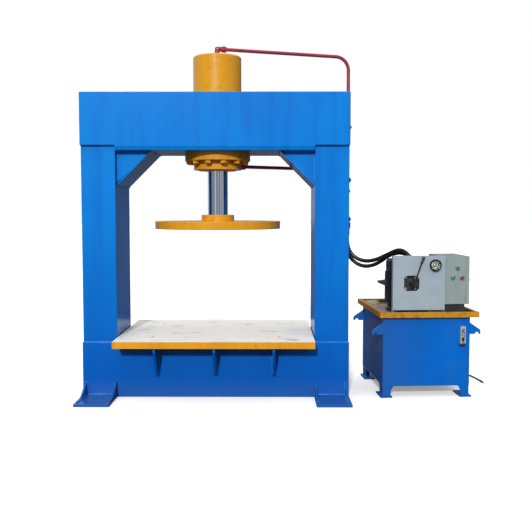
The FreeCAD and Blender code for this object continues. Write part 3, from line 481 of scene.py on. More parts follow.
def pick_edges(piece, wanted):
    """Selects, in edit mode, the edges for whose two ends wanted(place) is true."""
    bpy.ops.mesh.select_mode(type="EDGE")
    bpy.ops.mesh.select_all(action="DESELECT")
    mesh = bmesh.from_edit_mesh(piece.data)
    for edge in mesh.edges:
        edge.select_set(all(wanted(vert.co) for vert in edge.verts))
    bmesh.update_edit_mesh(piece.data)


def settled(piece, name, finish, body="press", stands_for=(), keep_finish=False):
    """Names a finished piece, gives it its finish, hangs it on the body it rides on and hides the
    parts it stands for.
    """
    piece.name = name
    piece.data.name = name
    if not keep_finish:
        piece.data.materials.clear()
        piece.data.materials.append(MATERIALS[finish])
    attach(piece, body)
    if stands_for:
        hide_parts(*stands_for)
    return piece


def softened(node, name, finish, width, segments=2, angle=35):
    """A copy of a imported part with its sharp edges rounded, which stands for the part."""
    source = frame["nodes"][node]
    piece = bpy.data.objects.new(name, source.data.copy())
    bpy.context.scene.collection.objects.link(piece)
    with editing(piece):
        bpy.ops.mesh.remove_doubles(threshold=MERGE)
        bpy.ops.mesh.dissolve_limited(angle_limit=math.radians(0.4))
        bpy.ops.mesh.customdata_custom_splitnormals_clear()
    applied(piece, "BEVEL", width=width, segments=segments, limit_method="ANGLE",
            angle_limit=math.radians(angle), use_clamp_overlap=True, miter_outer="MITER_ARC")
    smooth(piece)
    applied(piece, "WEIGHTED_NORMAL", keep_sharp=True, weight=80)
    return settled(piece, name, finish, BODY_OF[node], (node,))


def repaint_faces(piece, finish, wanted):
    """Gives a second finish to the faces for which wanted(centre, normal) is true."""
    piece.data.materials.append(MATERIALS[finish])
    index = len(piece.data.materials) - 1
    for face in piece.data.polygons:
        if wanted(face.center, face.normal):
            face.material_index = index
    return piece


def turned(profile, steps=32):
    """A shape turned about Z; the profile holds (radius, height) pairs in millimetres."""
    piece = primitive("plane", size=MM)
    with editing(piece):
        bpy.ops.mesh.merge(type="CENTER")
        bpy.ops.transform.translate(value=(profile[0][0] * MM, 0, profile[0][1] * MM))
        for (r0, h0), (r1, h1) in zip(profile, profile[1:]):
            step = ((r1 - r0) * MM, 0, (h1 - h0) * MM)
            bpy.ops.mesh.extrude_vertices_move(TRANSFORM_OT_translate={"value": step})
        bpy.ops.mesh.select_all(action="SELECT")
        bpy.ops.mesh.spin(steps=steps, angle=2 * math.pi, center=(0, 0, 0), axis=(0, 0, 1))
        bpy.ops.mesh.select_all(action="SELECT")
        bpy.ops.mesh.remove_doubles(threshold=MERGE)
        bpy.ops.mesh.normals_make_consistent(inside=False)
    return smooth(piece)


def bar(low, high, edge=0.5, segments=2):
    """A rounded bar between two corners in millimetres."""
    low, high = Vector(low) * MM, Vector(high) * MM
    piece = primitive("cube", size=1, location=(low + high) / 2, scale=high - low)
    with editing(piece):
        bpy.ops.mesh.bevel(offset=edge * MM, segments=segments, affect="EDGES")
    return smooth(piece)


def hex_bolt(across, height, washer=0.0):
    """A hexagon head with a turned crown, standing on Z, over its washer. Millimetres."""
    head = primitive("cylinder", vertices=6, radius=across / math.sqrt(3) * MM,
                     depth=height * MM, location=(0, 0, height / 2 * MM))
    with editing(head):
        pick_faces(head, lambda centre, normal: normal.z > 0.9)
        bpy.ops.mesh.inset(thickness=across * 0.1 * MM)
        bpy.ops.transform.translate(value=(0, 0, height * 0.08 * MM))
        bpy.ops.mesh.inset(thickness=across * 0.12 * MM)
        bpy.ops.transform.translate(value=(0, 0, -height * 0.03 * MM))
    pieces = [smooth(head, 20)]
    if washer:
        t = washer * 0.16
        pieces.append(turned([(0, 0), (washer, 0), (washer, t * 0.7), (washer - 0.5, t), (0, t)]))
        head.data.transform(Matrix.Translation((0, 0, t * MM)))
    return joined(pieces)


def facing(point, direction):
    """The move that stands a piece made on Z at a point, along a direction."""
    turn = Vector(direction).to_track_quat("Z", "Y").to_matrix().to_4x4()
    return Matrix.Translation(point) @ turn


def copies(template, moves):
    """One copy of the template at each move, joined; the template is used up."""
    made = []
    for move in moves:
        piece = twin(template)
        piece.data.transform(move)
        made.append(piece)
    bpy.data.objects.remove(template)
    return joined(made)


def unit_point(u, v, z):
    """A point of the power unit's frame, in millimetres, in the common frame."""
    return UNIT @ Vector((u * MM, v * MM, z * MM))


UNIT_FRONT = UNIT.to_3x3() @ Vector((0, -1, 0))
UNIT_RIGHT = UNIT.to_3x3() @ Vector((1, 0, 0))


class Step:
    """What every operator below has in common."""
    bl_options = {"REGISTER", "UNDO"}


# ---------------------------------------------------------------- hoses and cable
def cord_line(name, points, radius, finish):
    """A smooth round cord whose control points are the route's."""
    curve = bpy.data.curves.new(name, "CURVE")
    curve.dimensions = "3D"
    spline = curve.splines.new("NURBS")
    spline.points.add(len(points) - 1)
    for control, point in zip(spline.points, points):
        control.co = (*point, 1)
    spline.order_u = 3
    spline.use_endpoint_u = True
    curve.resolution_u = 10
    curve.bevel_depth = radius
    curve.bevel_resolution = 6
    curve.use_fill_caps = True
    piece = bpy.data.objects.new(name, curve)
    bpy.context.scene.collection.objects.link(piece)
    curve.materials.append(MATERIALS[finish])
    return piece


class PRESS_OT_hoses(Step, bpy.types.Operator):
    """Lays the two pressure hoses and presses their ferrules on"""
    bl_idname = "press.hoses"
    bl_label = "Pressure hoses"

    def execute(self, context):
        crimp = turned([(0, 0), (14.6, 0), (16.4, 1.6), (16.4, 5), (15.2, 6.5), (15.2, 8)], 32)
        waist = turned([(15.3, 8), (15.3, 30)], 8)
        collar = turned([(15.2, 30), (16.4, 31.5), (16.4, 38), (14.8, 40), (14.8, 44), (0, 44)], 32)
        template = smooth(joined([crimp, waist, collar]), 30)
        for name, route, length in (("upper_pressure_hose", UPPER_HOSE, 0.655),
                                    ("lower_pressure_hose", LOWER_HOSE, 0.730)):
            hose = cord_line(name, route, 0.0125, "rubber")
            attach(hose, "press")
            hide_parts(name.replace("_pressure", ""))
            ends = [(Vector(route[0]), Vector(route[1])), (Vector(route[-1]), Vector(route[-2]))]
            ferrules = copies(twin(template), [facing(at, at - near) for at, near in ends])
            settled(ferrules, name + "_ferrules", "zinc",
                    stands_for=("hose_ferrules",))
        bpy.data.objects.remove(template)
        return {"FINISHED"}


class PRESS_OT_supply_cable(Step, bpy.types.Operator):
    """Lays the supply cable and strips its end"""
    bl_idname = "press.supply_cable"
    bl_label = "Supply cable"

    def execute(self, context):
        cable = cord_line("mains_cable", SUPPLY_CABLE, 0.0055, "sheath")
        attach(cable, "press")
        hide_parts("supply_cable")
        end = Vector(SUPPLY_CABLE[-1])
        along = (end - Vector(SUPPLY_CABLE[-2])).normalized()
        sleeve = turned([(5.4, -34), (6.3, -33), (6.6, -30), (6.6, -3), (6.2, -0.5), (3, 0)])
        placed(sleeve, facing(end + Vector((0, 0, 0.0013)), along))
        pieces = [settled(sleeve, "cable_end_sleeve", "rubber")]
        cores = ("core_brown", "core_blue", "core_green", "core_black")
        for index, finish in enumerate(cores):
            side = math.radians(90 * index + 45)
            lean = Vector((math.cos(side) * 0.16, 0, math.sin(side) * 0.05 + 0.02))
            start = end + Vector((math.cos(side), 0, math.sin(side))) * 0.002
            direction = along + lean
            core = turned([(0, -2), (1.5, -2), (1.5, 24), (1.2, 25), (0, 25)], 12)
            placed(core, facing(start, direction))
            pieces.append(settled(core, "cable_" + finish, finish))
            wire = turned([(0, 24), (0.8, 24), (0.8, 31), (0.4, 32), (0, 32)], 10)
            placed(wire, facing(start, direction))
            pieces.append(settled(wire, f"cable_strand_{index + 1}", "copper"))
        relief = turned([(5.6, 0), (9.4, 0), (9.4, 6), (8.6, 10), (7.4, 26), (6.2, 32),
                         (5.6, 32)], 28)
        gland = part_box("cable_gland")
        direction = UNIT.to_3x3() @ Vector((0, 1, 0))
        mouth = Vector(SUPPLY_CABLE[0])
        placed(relief, facing(mouth + direction * (gland[1].y - mouth.y - 0.006), direction))
        settled(relief, "cable_strain_relief", "rubber")
        return {"FINISHED"}


# ---------------------------------------------------------------- press frame
class PRESS_OT_frame_plates(Step, bpy.types.Operator):
    """Rounds the edges of the frame's plates, columns and feet"""
    bl_idname = "press.frame_plates"
    bl_label = "Frame plates"

    def execute(self, context):
        edge = context.scene.press_sizes.plate_edge
        for node, share in (("beam_cheeks", 1), ("base_plates", 1), ("columns", 3.0),
                            ("corner_haunches", 0.8), ("table_ribs", 0.8), ("anchor_feet", 0.7),
                            ("beam_inner_plates", 0.6)):
            piece = softened(node, "enamelled_" + node, "blue", edge * share)
            if node == "beam_cheeks":
                self.bend_lower_edge(piece)
        return {"FINISHED"}

    def bend_lower_edge(self, piece):
        """Slants the lowest strip of the beam's front plate back, as a dressed edge is."""
        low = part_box("beam_cheeks")[0]
        strip, depth = 0.024, 0.007
        bend = low.z + strip
        with editing(piece):
            bpy.ops.mesh.customdata_custom_splitnormals_clear()
            bpy.ops.mesh.bisect(plane_co=(0, 0, bend), plane_no=(0, 0, 1))
            pick_edges(piece, lambda at: at.y < low.y + 0.003 and abs(at.z - bend) < 1e-5)
            bpy.ops.mesh.mark_sharp()
            pick_edges(piece, lambda at: at.y < low.y + 0.003 and at.z < low.z + strip * 0.9)
            bpy.ops.transform.translate(value=(0, depth, 0))
        applied(piece, "WEIGHTED_NORMAL", keep_sharp=True, weight=80)


def bead_template(radius, ripple):
    """One ripple of a weld bead: a short ring that swells in its middle."""
    piece = primitive("cylinder", vertices=7, radius=radius, depth=ripple,
                      end_fill_type="NOTHING", location=(0, 0, ripple / 2))
    with editing(piece):
        bpy.ops.mesh.bisect(plane_co=(0, 0, ripple * 0.62), plane_no=(0, 0, 1))
        bpy.ops.transform.resize(value=(1.2, 1.2, 1))
    return piece


def beads(name, runs, radius, ripple, finish):
    """Fillet welds along straight runs, each a start and an end in metres."""
    template = bead_template(radius, ripple)
    by_count = {}
    made = []
    for start, end in runs:
        start, end = Vector(start), Vector(end)
        length = (end - start).length
        count = max(2, round(length / ripple))
        if count not in by_count:
            bead = applied(twin(template), "ARRAY", count=count, use_relative_offset=False,
                           use_constant_offset=True, constant_offset_displace=(0, 0, ripple),
                           use_merge_vertices=True, merge_threshold=1e-5)
            with editing(bead, "EDGE"):
                bpy.ops.mesh.select_all(action="DESELECT")
                bpy.ops.mesh.select_non_manifold()
                bpy.ops.mesh.fill_holes(sides=0)
                bpy.ops.mesh.select_all(action="SELECT")
                bpy.ops.mesh.normals_make_consistent(inside=False)
            by_count[count] = bead
        piece = twin(by_count[count])
        stretch = Matrix.Diagonal((1, 1, length / (count * ripple), 1))
        piece.data.transform(facing(start, end - start) @ stretch)
        made.append(piece)
    for used in [template, *by_count.values()]:
        bpy.data.objects.remove(used)
    piece = smooth(joined(made), 50)
    return settled(piece, name, finish)


def all_corners(runs):
    """The runs given for the front right corner, at all four corners of the frame."""
    made = []
    for sx in (1, -1):
        for sy in (1, -1):
            for start, end in runs:
                made.append([Vector((p[0] * sx, p[1] * sy, p[2])) for p in (start, end)])
    return made


class PRESS_OT_frame_welds(Step, bpy.types.Operator):
    """Runs fillet welds along the frame's joints"""
    bl_idname = "press.frame_welds"
    bl_label = "Frame welds"

    def execute(self, context):
        sizes = context.scene.press_sizes
        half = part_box("columns")[1].x
        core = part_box("columns")[1].y
        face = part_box("beam_cheeks")[1].y
        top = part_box("beam_cheeks")[1].z
        beam_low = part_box("beam_cheeks")[0].z
        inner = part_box("corner_haunches")[1].x
        haunch_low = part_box("corner_haunches")[0].z
        haunch_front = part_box("corner_haunches")[0].y
        base_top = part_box("base_plates")[1].z
        step = beam_low + STEP_RISE
        reach = beam_low - haunch_low
        slope, plate = HAUNCH_LIP, FOOT_PLATE
        foot_end = -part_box("anchor_feet")[0].y
        runs = all_corners([
            ((inner, core, base_top), (half, core, base_top)),
            ((inner, core, step), (half, core, step)),
            ((inner, core, step), (inner, core, beam_low)),
            ((half, core, 0.002), (half, core, base_top)),
            ((half, core, step), (half, core, top)),
            ((inner, face, plate), (half - 0.02, face, plate)),
            ((inner + 0.014, face, plate), (inner + 0.014, foot_end - TOE_BACK, plate)),
            ((half - 0.022, face, plate), (half - 0.022, foot_end - TOE_BACK, plate)),
            ((inner + 0.014, face, plate), (inner + 0.014, face, GUSSET_TOP)),
            ((half - 0.022, face, plate), (half - 0.022, face, GUSSET_TOP)),
            ((half - 0.010, face, plate), (half - 0.010, face, GUSSET_TOP)),
        ])
        for side in (-1, 1):
            x = side * inner
            runs += [((x, haunch_front, haunch_low + slope), (x, haunch_front, beam_low)),
                     ((side * (inner - reach + slope), haunch_front, beam_low),
                      (x, haunch_front, beam_low)),
                     ((side * (inner - reach), haunch_front, beam_low),
                      (side * (inner - reach), core, beam_low)),
                     ((x, haunch_front, haunch_low), (x, core, haunch_low))]
        table_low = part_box("table_plate")[0].z
        for x in [middle + side for middle in RIB_X for side in (-RIB_HALF, RIB_HALF)]:
            for way, end in RIB_ENDS:
                y = way * face
                corner = (x, y, table_low)
                runs += [((x, y, RIB_LOW), corner), (corner, (x, end, table_low))]
        for y in (-core, core):
            runs.append(((-half + 0.004, y, top), (half - 0.004, y, top)))
        # The beads' lighter blue is a painted highlight.
        beads("frame_fillet_welds", runs, sizes.weld * 0.8, sizes.ripple, "weld_highlight_blue")
        return {"FINISHED"}


class PRESS_OT_table_face(Step, bpy.types.Operator):
    """Mills the table's top and leaves its edges painted"""
    bl_idname = "press.table_face"
    bl_label = "Table"

    def execute(self, context):
        table = softened("table_plate", "milled_table", "amber",
                         context.scene.press_sizes.plate_edge)
        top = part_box("table_plate")[1].z
        low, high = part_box("table_plate")
        # The top faces take the nearly white steel, whose white is a painted reflection.
        repaint_faces(table, "table", lambda centre, normal: centre.z > top - 0.0005
                      and normal.z > 0.5)
        # The walls of the table's holes are painted black: painted shade inside the holes.
        repaint_faces(table, "black", lambda centre, normal: low.z < centre.z < top - 0.0005
                      and abs(centre.x) < high.x - 0.03 and low.y + 0.03 < centre.y < high.y - 0.03)
        return {"FINISHED"}


# ---------------------------------------------------------------- cylinder and ram
def round_weld(radius, height, bead, name, body):
    """A ring of weld round a turned part, rippled along its length. Millimetres."""
    count = round(2 * math.pi * radius / 6)
    ring = primitive("torus", major_segments=2 * count, minor_segments=8,
                     major_radius=radius * MM, minor_radius=bead * MM,
                     location=(0, 0, height * MM))
    crest = math.pi / count

    def on_crest(centre, normal):
        return round(math.atan2(centre.y, centre.x) / crest - 0.5) % 2 == 0

    with editing(ring):
        pick_faces(ring, on_crest)
        bpy.ops.transform.shrink_fatten(value=0.12 * bead * MM)
    return settled(smooth(ring, 60), name, "amber", body)


class PRESS_OT_cylinder_parts(Step, bpy.types.Operator):
    """Finishes the cylinder, its flange and its bolts"""
    bl_idname = "press.cylinder_parts"
    bl_label = "Cylinder"

    def execute(self, context):
        softened("cylinder_barrel", "enamelled_barrel", "amber", 0.0012)
        softened("cylinder_flange", "enamelled_flange", "amber", 0.0006)
        bolt = hex_bolt(36, 15, 22)
        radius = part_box("cylinder_flange")[1].x - 0.027
        washer_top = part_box("cylinder_flange")[0].z
        moves = []
        for index in range(12):
            angle = math.radians(15 + 30 * index)
            at = (radius * math.cos(angle), radius * math.sin(angle), washer_top)
            moves.append(facing(at, (0, 0, -1)) @ Matrix.Rotation(angle, 4, "Z"))
        settled(copies(bolt, moves), "flange_bolt_heads", "amber",
                stands_for=("flange_bolts",))
        round_weld(150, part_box("beam_cheeks")[1].z / MM, 4.5, "barrel_weld", "press")
        gland_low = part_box("rod_gland")[0].z / MM
        wiper = turned([(63.2, 0), (69.5, 0), (69.5, -2), (66, -5.5), (63.4, -6.5), (63.2, 0)], 64)
        placed(wiper, Matrix.Translation((0, 0, gland_low * MM)))
        settled(wiper, "rod_wiper", "rubber")
        retainer = turned([(76, 0), (118, 0), (118, -4), (115, -6), (79, -6), (76, -4), (76, 0)],
                          64)
        placed(retainer, Matrix.Translation((0, 0, gland_low * MM)))
        settled(retainer, "gland_retainer", "amber")
        screw = hex_bolt(13, 2.4)
        moves = [facing((0.097 * math.cos(a), 0.097 * math.sin(a), gland_low * MM - 0.0045),
                        (0, 0, -1)) for a in (math.radians(45 * i + 22) for i in range(8))]
        settled(copies(screw, moves), "gland_screws", "zinc")
        return {"FINISHED"}


class PRESS_OT_ram_parts(Step, bpy.types.Operator):
    """Finishes the platen and the rod's hub"""
    bl_idname = "press.ram_parts"
    bl_label = "Ram"

    def execute(self, context):
        softened("platen", "enamelled_platen", "amber", 0.0008)
        softened("rod_hub", "enamelled_hub", "amber", 0.0008)
        low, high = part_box("rod_hub")
        round_weld(high.x / MM, low.z / MM, 4, "hub_weld", "ram")
        return {"FINISHED"}


class PRESS_OT_pipe_clamps(Step, bpy.types.Operator):
    """Rounds the pipe clamps and bolts them down"""
    bl_idname = "press.pipe_clamps"
    bl_label = "Pipe clamps"

    def execute(self, context):
        softened("pipe_clamps", "moulded_pipe_clamps", "clamp", 0.0015)
        bolt = hex_bolt(8, 4, 6.5)
        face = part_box("pipe_clamps")[1].x
        moves = []
        for y, heights in CLAMPS:
            for z in heights:
                for dy in (-0.015, 0.015):
                    moves.append(facing((face, y + dy, z), (1, 0, 0)))
        settled(copies(bolt, moves), "clamp_bolts", "black_steel")
        return {"FINISHED"}


# ---------------------------------------------------------------- power unit
def in_tray(centre, normal):
    """Whether a face of the tray is on the inside of its rim."""
    inner = UNIT.inverted().to_3x3() @ normal
    at = UNIT.inverted() @ centre
    to_middle = Vector((TRAY_MIDDLE[0] - at.x, TRAY_MIDDLE[1] - at.y, 0))
    return at.z > TRAY_FLOOR + 0.0005 and abs(inner.z) < 0.5 and inner.dot(to_middle) > 0.02


class PRESS_OT_tank(Step, bpy.types.Operator):
    """Finishes the tank, its tray, legs and lifting hooks"""
    bl_idname = "press.tank"
    bl_label = "Tank and tray"

    def execute(self, context):
        sizes = context.scene.press_sizes
        softened("tank_shell", "enamelled_tank", "tank", 0.0015)
        tray = softened("drip_tray", "enamelled_tray", "oily_amber", sizes.sheet_edge * 1.5)
        repaint_faces(tray, "sludge", lambda centre, normal: abs(centre.z - TRAY_FLOOR) < 0.002
                      and normal.z > 0.5 or in_tray(centre, normal))
        softened("tank_legs", "enamelled_legs", "tank", sizes.sheet_edge * 1.5)
        softened("lifting_hooks", "enamelled_hooks", "tank", 0.0012)
        width, depth, low, top = TANK_W, TANK_D, TANK_LOW, TANK_TOP
        runs = []
        for u in (0, width):
            for v in (0, depth):
                runs.append(((u, v, low), (u, v, top)))
        for v in (0, depth):
            runs.append(((0, v, low), (width, v, low)))
        for u in (0, width):
            runs.append(((u, 0, low), (u, depth, low)))
        for u in (0, width):
            for v in (0.010, depth - 0.010):
                runs.append(((u, v, 0.382), (u, v, 0.450)))
        for u in (0.0, width):
            runs.append(((u, 0.004, top), (u, depth - 0.004, top)))
        runs.append(((0.004, 0, top), (width - 0.004, 0, top)))
        runs = [(UNIT @ Vector(a), UNIT @ Vector(b)) for a, b in runs]
        beads("tank_seam_welds", runs, sizes.weld * 0.42, sizes.ripple * 0.8, "tank")
        return {"FINISHED"}


class PRESS_OT_motor(Step, bpy.types.Operator):
    """Finishes the motor and bolts it to the tank's lid"""
    bl_idname = "press.motor"
    bl_label = "Motor"

    def execute(self, context):
        softened("motor_terminal_box", "motor_terminal_cover", "black", 0.0025, 3)
        u, v = MOTOR
        bolt = hex_bolt(13, 6, 11)
        moves = [facing(unit_point(u + 98 * math.cos(a), v + 98 * math.sin(a), 505), (0, 0, 1))
                 for a in (QUARTER * i + QUARTER / 2 for i in range(4))]
        settled(copies(bolt, moves), "motor_flange_bolts", "black_steel")
        screw = hex_bolt(7, 3, 5)
        moves = []
        for index in range(4):
            a = QUARTER * index + 0.3
            outward = UNIT.to_3x3() @ Vector((math.cos(a), math.sin(a), 0))
            moves.append(facing(unit_point(u, v, 752) + outward * 0.103, outward))
        settled(copies(screw, moves), "fan_cover_screws", "zinc")
        return {"FINISHED"}


class PRESS_OT_valve(Step, bpy.types.Operator):
    """Finishes the valve, its manifold and its lever"""
    bl_idname = "press.valve"
    bl_label = "Valve and lever"

    def execute(self, context):
        softened("valve_body", "cast_valve_body", "black", 0.0015)
        softened("valve_manifold", "milled_manifold", "black", 0.001)
        u, z = LEVER
        cap = turned([(0, 0), (14, 0), (14, 1.6), (12.8, 2.8), (10, 2.8), (9, 2.2), (7, 2.2),
                      (6.4, 5), (3.6, 5.8), (0, 5.8)], 40)
        settled(placed(cap, facing(unit_point(u, 4, z), UNIT_FRONT)),
                "lever_hub_cap", "black_steel", "lever")
        lean = math.radians(19)
        along = UNIT.to_3x3() @ Vector((math.sin(lean), 0, math.cos(lean)))
        grip = turned([(0, 0), (4.8, 0), (6.6, 1.5), (7.2, 6), (7.8, 12), (7.5, 13), (8.4, 20),
                       (8.1, 21), (9.2, 29), (9.9, 35), (9.4, 40), (7.2, 43.4), (3.5, 44.6),
                       (0, 45)], 32)
        placed(grip, facing(unit_point(u, 13, z) + along * 0.126, along))
        settled(grip, "moulded_lever_grip", "phenolic", "lever",
                ("lever_grip",))
        collar = turned([(4.6, 0), (7, 0), (7, 7), (6, 8.5), (4.6, 8.5), (4.6, 0)], 6)
        placed(collar, facing(unit_point(u, 13, z) + along * 0.022, along))
        settled(collar, "lever_lock_nut", "black_steel", "lever")
        return {"FINISHED"}


class PRESS_OT_cover_panel(Step, bpy.types.Operator):
    """Finishes the valve's cover, its screws and its feet"""
    bl_idname = "press.cover_panel"
    bl_label = "Valve cover"

    def execute(self, context):
        softened("cover_panel", "coated_cover_panel", "panel", 0.0006)
        feet = [bar((u, 34, 491.2), (u + 13, 58, 523.6), 1.2) for u in (68, 360)]
        feet = placed(joined(feet), UNIT)
        settled(feet, "panel_feet", "black")
        screw = turned([(0, 0), (4.4, 0), (4.4, 1.2), (3.2, 2.4), (1.2, 2.7), (0, 2.7)], 20)
        moves = [facing(unit_point(u, 30, z), UNIT_FRONT)
                 for u in (74, 367) for z in (536, 838)]
        settled(copies(screw, moves), "panel_screws", "zinc")
        return {"FINISHED"}


class PRESS_OT_gauge(Step, bpy.types.Operator):
    """Makes the gauge's ring, scale and numbers"""
    bl_idname = "press.gauge"
    bl_label = "Pressure gauge"

    def execute(self, context):
        u, z = GAUGE
        face = 22.5
        ring = turned([(29.2, -0.5), (30.4, 1.8), (33, 2.6), (35, 1), (35.2, -2), (35.2, -18),
                       (34.05, -18.6), (34.05, -0.5), (29.2, -0.5)], 64)
        settled(placed(ring, facing(unit_point(u, 7.2, z), UNIT_FRONT)),
                "gauge_bezel", "black_steel")
        marks = []
        for index in range(31):
            long_mark = index % 5 == 0
            reach = 5.0 if long_mark else 3.0
            wide = 0.45 if long_mark else 0.22
            mark = bar((-wide, -0.25, 26.5 - reach), (wide, 0, 26.5), 0.08, 1)
            mark.data.transform(Matrix.Rotation(math.radians(-135 + 9 * index), 4, "Y"))
            marks.append(mark)
        for index in range(7):
            angle = math.radians(-135 + 45 * index)
            at = (17.2 * math.sin(angle) * MM, -0.0001, 17.2 * math.cos(angle) * MM)
            bpy.ops.object.select_all(action="DESELECT")
            bpy.ops.object.text_add(location=at, rotation=(QUARTER, 0, 0))
            text = bpy.context.object
            text.data.body = str(index * 5)
            text.data.size = 0.0058
            text.data.align_x = "CENTER"
            text.data.align_y = "CENTER"
            text.data.extrude = 0.0001
            bpy.ops.object.convert(target="MESH")
            marks.append(baked())
        scale = joined(marks)
        placed(scale, UNIT @ Matrix.Translation((u * MM, (face + 1.45) * MM, z * MM)))
        settled(scale, "gauge_scale", "phenolic")
        return {"FINISHED"}


class PRESS_OT_control_box(Step, bpy.types.Operator):
    """Finishes the control box, its door, stand and switchgear"""
    bl_idname = "press.control_box"
    bl_label = "Control box"

    def execute(self, context):
        softened("control_box", "coated_control_box", "box", 0.0014)
        door = softened("box_door", "coated_box_door", "box", 0.0012)
        softened("box_stand", "folded_box_stand", "black", 0.001)
        softened("switchgear", "moulded_switchgear", "phenolic", 0.001)
        repaint_faces(door, "steel", lambda centre, normal:
                      (UNIT.inverted() @ centre).x > (DOOR_FACE + 0.2) * MM)
        gasket = joined([bar((519.8, 73, 556), (524, 78, 842)),
                         bar((519.8, 412, 556), (524, 417, 842)),
                         bar((519.8, 73, 556), (524, 417, 561)),
                         bar((519.8, 73, 837), (524, 417, 842))])
        settled(placed(gasket, UNIT), "door_gasket", "rubber", "door")
        screw = turned([(0, 0), (3.2, 0), (3.2, 1.2), (2.4, 2), (0.6, 2), (0, 1)], 16)
        moves = []
        for u, v, z, count in ((464, 158, 779, 5), (464, 158, 707, 5), (460, 160, 686, 5),
                               (432, 250, 644, 9), (432, 250, 616, 9)):
            for index in range(count):
                moves.append(facing(unit_point(u, v + 14 * index, z), UNIT_RIGHT))
        settled(copies(screw, moves), "terminal_screws", "zinc")
        return {"FINISHED"}


class PRESS_OT_level_gauge(Step, bpy.types.Operator):
    """Finishes the oil level gauge"""
    bl_idname = "press.level_gauge"
    bl_label = "Level gauge"

    def execute(self, context):
        softened("level_gauge_frame", "moulded_level_frame", "panel", 0.0012)
        u, low, high = 480, 341, 403
        back = placed(bar((u - 8.6, -7.6, low), (u + 8.6, -6.4, high), 0.3), UNIT)
        settled(back, "level_gauge_back", "dial")
        oil = placed(bar((u - 6, -14, low), (u + 6, -8, low + 26), 0.8), UNIT)
        settled(oil, "level_gauge_oil", "oil")
        foot = placed(bar((u - 16.6, -22.8, 313.6), (u + 16.6, -0.2, 326), 1.4), UNIT)
        settled(foot, "level_gauge_foot", "phenolic")
        return {"FINISHED"}


FINISHES = {
    "chrome": ("piston_rod",),
    "steel": ("piston", "motor_rotor", "door_hinges", "hose_adaptors"),
    "rubber": ("piston_seals", "rod_seals"),
    "amber": ("rod_gland",),
    "black_steel": ("hub_screws", "valve_lever"),
    "red": ("oil_pipes", "pipe_fittings"),
    "zinc": ("unit_fasteners", "button_bezels"),
    "phenolic": ("cable_gland", "gauge_pointer", "filler_breather", "motor_fan"),
    "black": ("gauge_case", "motor_housing", "motor_fan_cover", "gear_pump"),
    "dial": ("gauge_dial",),
    "glass": ("gauge_glass", "level_gauge_glass"),
    "green": ("pilot_lamp", "start_button"),
    "button_red": ("stop_button",),
}


class PRESS_OT_plain_finishes(Step, bpy.types.Operator):
    """Gives its finish to each part that keeps the shape it was packed with"""
    bl_idname = "press.plain_finishes"
    bl_label = "Finishes of the other parts"

    def execute(self, context):
        for finish, nodes in FINISHES.items():
            for node in nodes:
                data = frame["nodes"][node].data
                data.materials.clear()
                data.materials.append(MATERIALS[finish])
        return {"FINISHED"}


# ---------------------------------------------------------------- stage
# The sky in front of the press from left to right: a dim hall with a few bright windows, which
# draw the upright streaks on the rod and the barrel.
STRIPS = ((0.02, "#A4ACBE"), (0.22, "#A2AABC"), (0.27, "#FFFFFF"), (0.34, "#FFFFFF"),
          (0.38, "#A0A8B8"), (0.45, "#9CA4B4"), (0.55, "#98A0B0"), (0.59, "#F4F8FF"),
          (0.63, "#98A0B0"), (0.76, "#A0A8BC"), (0.80, "#FFFFFF"), (0.86, "#8E96AA"))


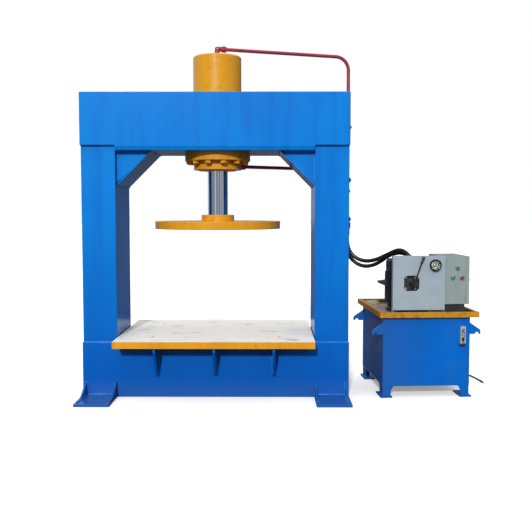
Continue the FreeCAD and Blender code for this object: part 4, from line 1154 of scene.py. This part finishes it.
class PRESS_OT_studio(Step, bpy.types.Operator):
    """Sets the floor, the lights and the camera"""
    bl_idname = "press.studio"
    bl_label = "Studio"

    def execute(self, context):
        scene = context.scene
        studio = scene.press_studio
        floor = primitive("circle", vertices=96, radius=60, fill_type="NGON")
        with editing(floor, "FACE"):
            bpy.ops.mesh.inset(thickness=40)
        floor.name = "studio_floor"
        white = bpy.data.materials.new("painted studio floor")
        white.use_nodes = True
        tree = white.node_tree
        shader = tree.nodes["Principled BSDF"]
        seen = add_node(tree, "LightPath").outputs["Is Camera Ray"]
        tone = blended(tree, seen, linear("#484C52"), linear("#F4F4F4"))
        tree.links.new(tone, shader.inputs["Base Color"])
        tree.links.new(ranged(tree, seen, 0, 1, 0, 0.3), shader.inputs["Emission Strength"])
        shader.inputs["Roughness"].default_value = 0.9
        shader.inputs["Emission Color"].default_value = linear("#FFFFFF")
        floor.data.materials.append(white)

        sun = bpy.data.lights.new("key", "SUN")
        sun.energy = studio.key
        sun.angle = math.radians(4)
        sun.color = (1.0, 0.985, 0.96)
        lamp = bpy.data.objects.new("key", sun)
        scene.collection.objects.link(lamp)
        lamp.rotation_euler = Vector((0.14, 1.0, -0.42)).to_track_quat("-Z", "Y").to_euler()

        world = bpy.data.worlds.new("studio sky")
        world.use_nodes = True
        tree = world.node_tree
        back = tree.nodes["Background"]
        direction = add_node(tree, "TexCoord").outputs["Generated"]
        split = add_node(tree, "SeparateXYZ", {"Vector": direction})
        across = split.outputs["X"]
        strips = add_node(tree, "ValToRGB", {"Fac": ranged(tree, across, -1, 1, 0, 1)})
        ramp = strips.color_ramp
        for spot, code in STRIPS:
            ramp.elements.new(spot).color = linear(code)
        side = ranged(tree, across, -0.35, 0.2, 1.0, 0.0)
        rear = blended(tree, side, linear("#5A626E"), linear("#F4F8FF"))
        behind = ranged(tree, split.outputs["Y"], -0.3, 0.2, 0.0, 1.0)
        shade = blended(tree, behind, strips.outputs[0], rear)
        upper = ranged(tree, split.outputs["Z"], 0.1, 0.8, 0.0, 1.0)
        shade = blended(tree, upper, shade, [1.35, 1.35, 1.35, 1.0])
        tree.links.new(shade, back.inputs["Color"])
        back.inputs["Strength"].default_value = studio.sky
        plain = add_node(tree, "Background", {"Color": (1, 1, 1, 1), "Strength": 1.0})
        seen = add_node(tree, "LightPath").outputs["Is Camera Ray"]
        chosen = add_node(tree, "MixShader", {0: seen, 1: back.outputs[0], 2: plain.outputs[0]})
        tree.links.new(chosen.outputs[0], tree.nodes["World Output"].inputs["Surface"])
        scene.world = world

        camera = bpy.data.objects.new("camera", bpy.data.cameras.new("camera"))
        camera.location = (0.33107, -5.05034, 1.12253)
        camera.rotation_euler = (QUARTER - 0.06887, 0, 0.00579)
        camera.data.lens = studio.lens
        scene.collection.objects.link(camera)
        scene.camera = camera
        scene.view_settings.view_transform = "Standard"
        return {"FINISHED"}


class PRESS_PT_panel(bpy.types.Panel):
    """The press's pieces, finishes and studio"""
    bl_idname = "PRESS_PT_panel"
    bl_label = "Hydraulic press"
    bl_space_type = "VIEW_3D"
    bl_region_type = "UI"
    bl_category = "Press"

    def draw(self, context):
        scene = context.scene
        for group in (scene.press_colours, scene.press_sizes, scene.press_studio):
            box = self.layout.box()
            for name in group.__annotations__:
                box.prop(group, name)
        for step in STEPS:
            self.layout.operator(step.bl_idname)


STEPS = (PRESS_OT_studio, PRESS_OT_hoses, PRESS_OT_supply_cable, PRESS_OT_frame_plates,
         PRESS_OT_frame_welds, PRESS_OT_table_face, PRESS_OT_cylinder_parts, PRESS_OT_ram_parts,
         PRESS_OT_pipe_clamps, PRESS_OT_tank, PRESS_OT_motor, PRESS_OT_valve,
         PRESS_OT_cover_panel, PRESS_OT_gauge, PRESS_OT_control_box, PRESS_OT_level_gauge,
         PRESS_OT_plain_finishes)
GROUPS = {"press_colours": PressColours, "press_sizes": PressSizes, "press_studio": PressStudio}
MATERIALS = {}


def register():
    for group in GROUPS.values():
        bpy.utils.register_class(group)
    for name, group in GROUPS.items():
        setattr(bpy.types.Scene, name, bpy.props.PointerProperty(type=group))
    for step in STEPS:
        bpy.utils.register_class(step)
    bpy.utils.register_class(PRESS_PT_panel)


def unregister():
    bpy.utils.unregister_class(PRESS_PT_panel)
    for step in reversed(STEPS):
        bpy.utils.unregister_class(step)
    for name, group in GROUPS.items():
        delattr(bpy.types.Scene, name)
        bpy.utils.unregister_class(group)


def main():
    register()
    MATERIALS.update(make_materials())
    for step in STEPS:
        family, name = step.bl_idname.split(".")
        getattr(getattr(bpy.ops, family), name)()


if __name__ == "__main__":
    main()
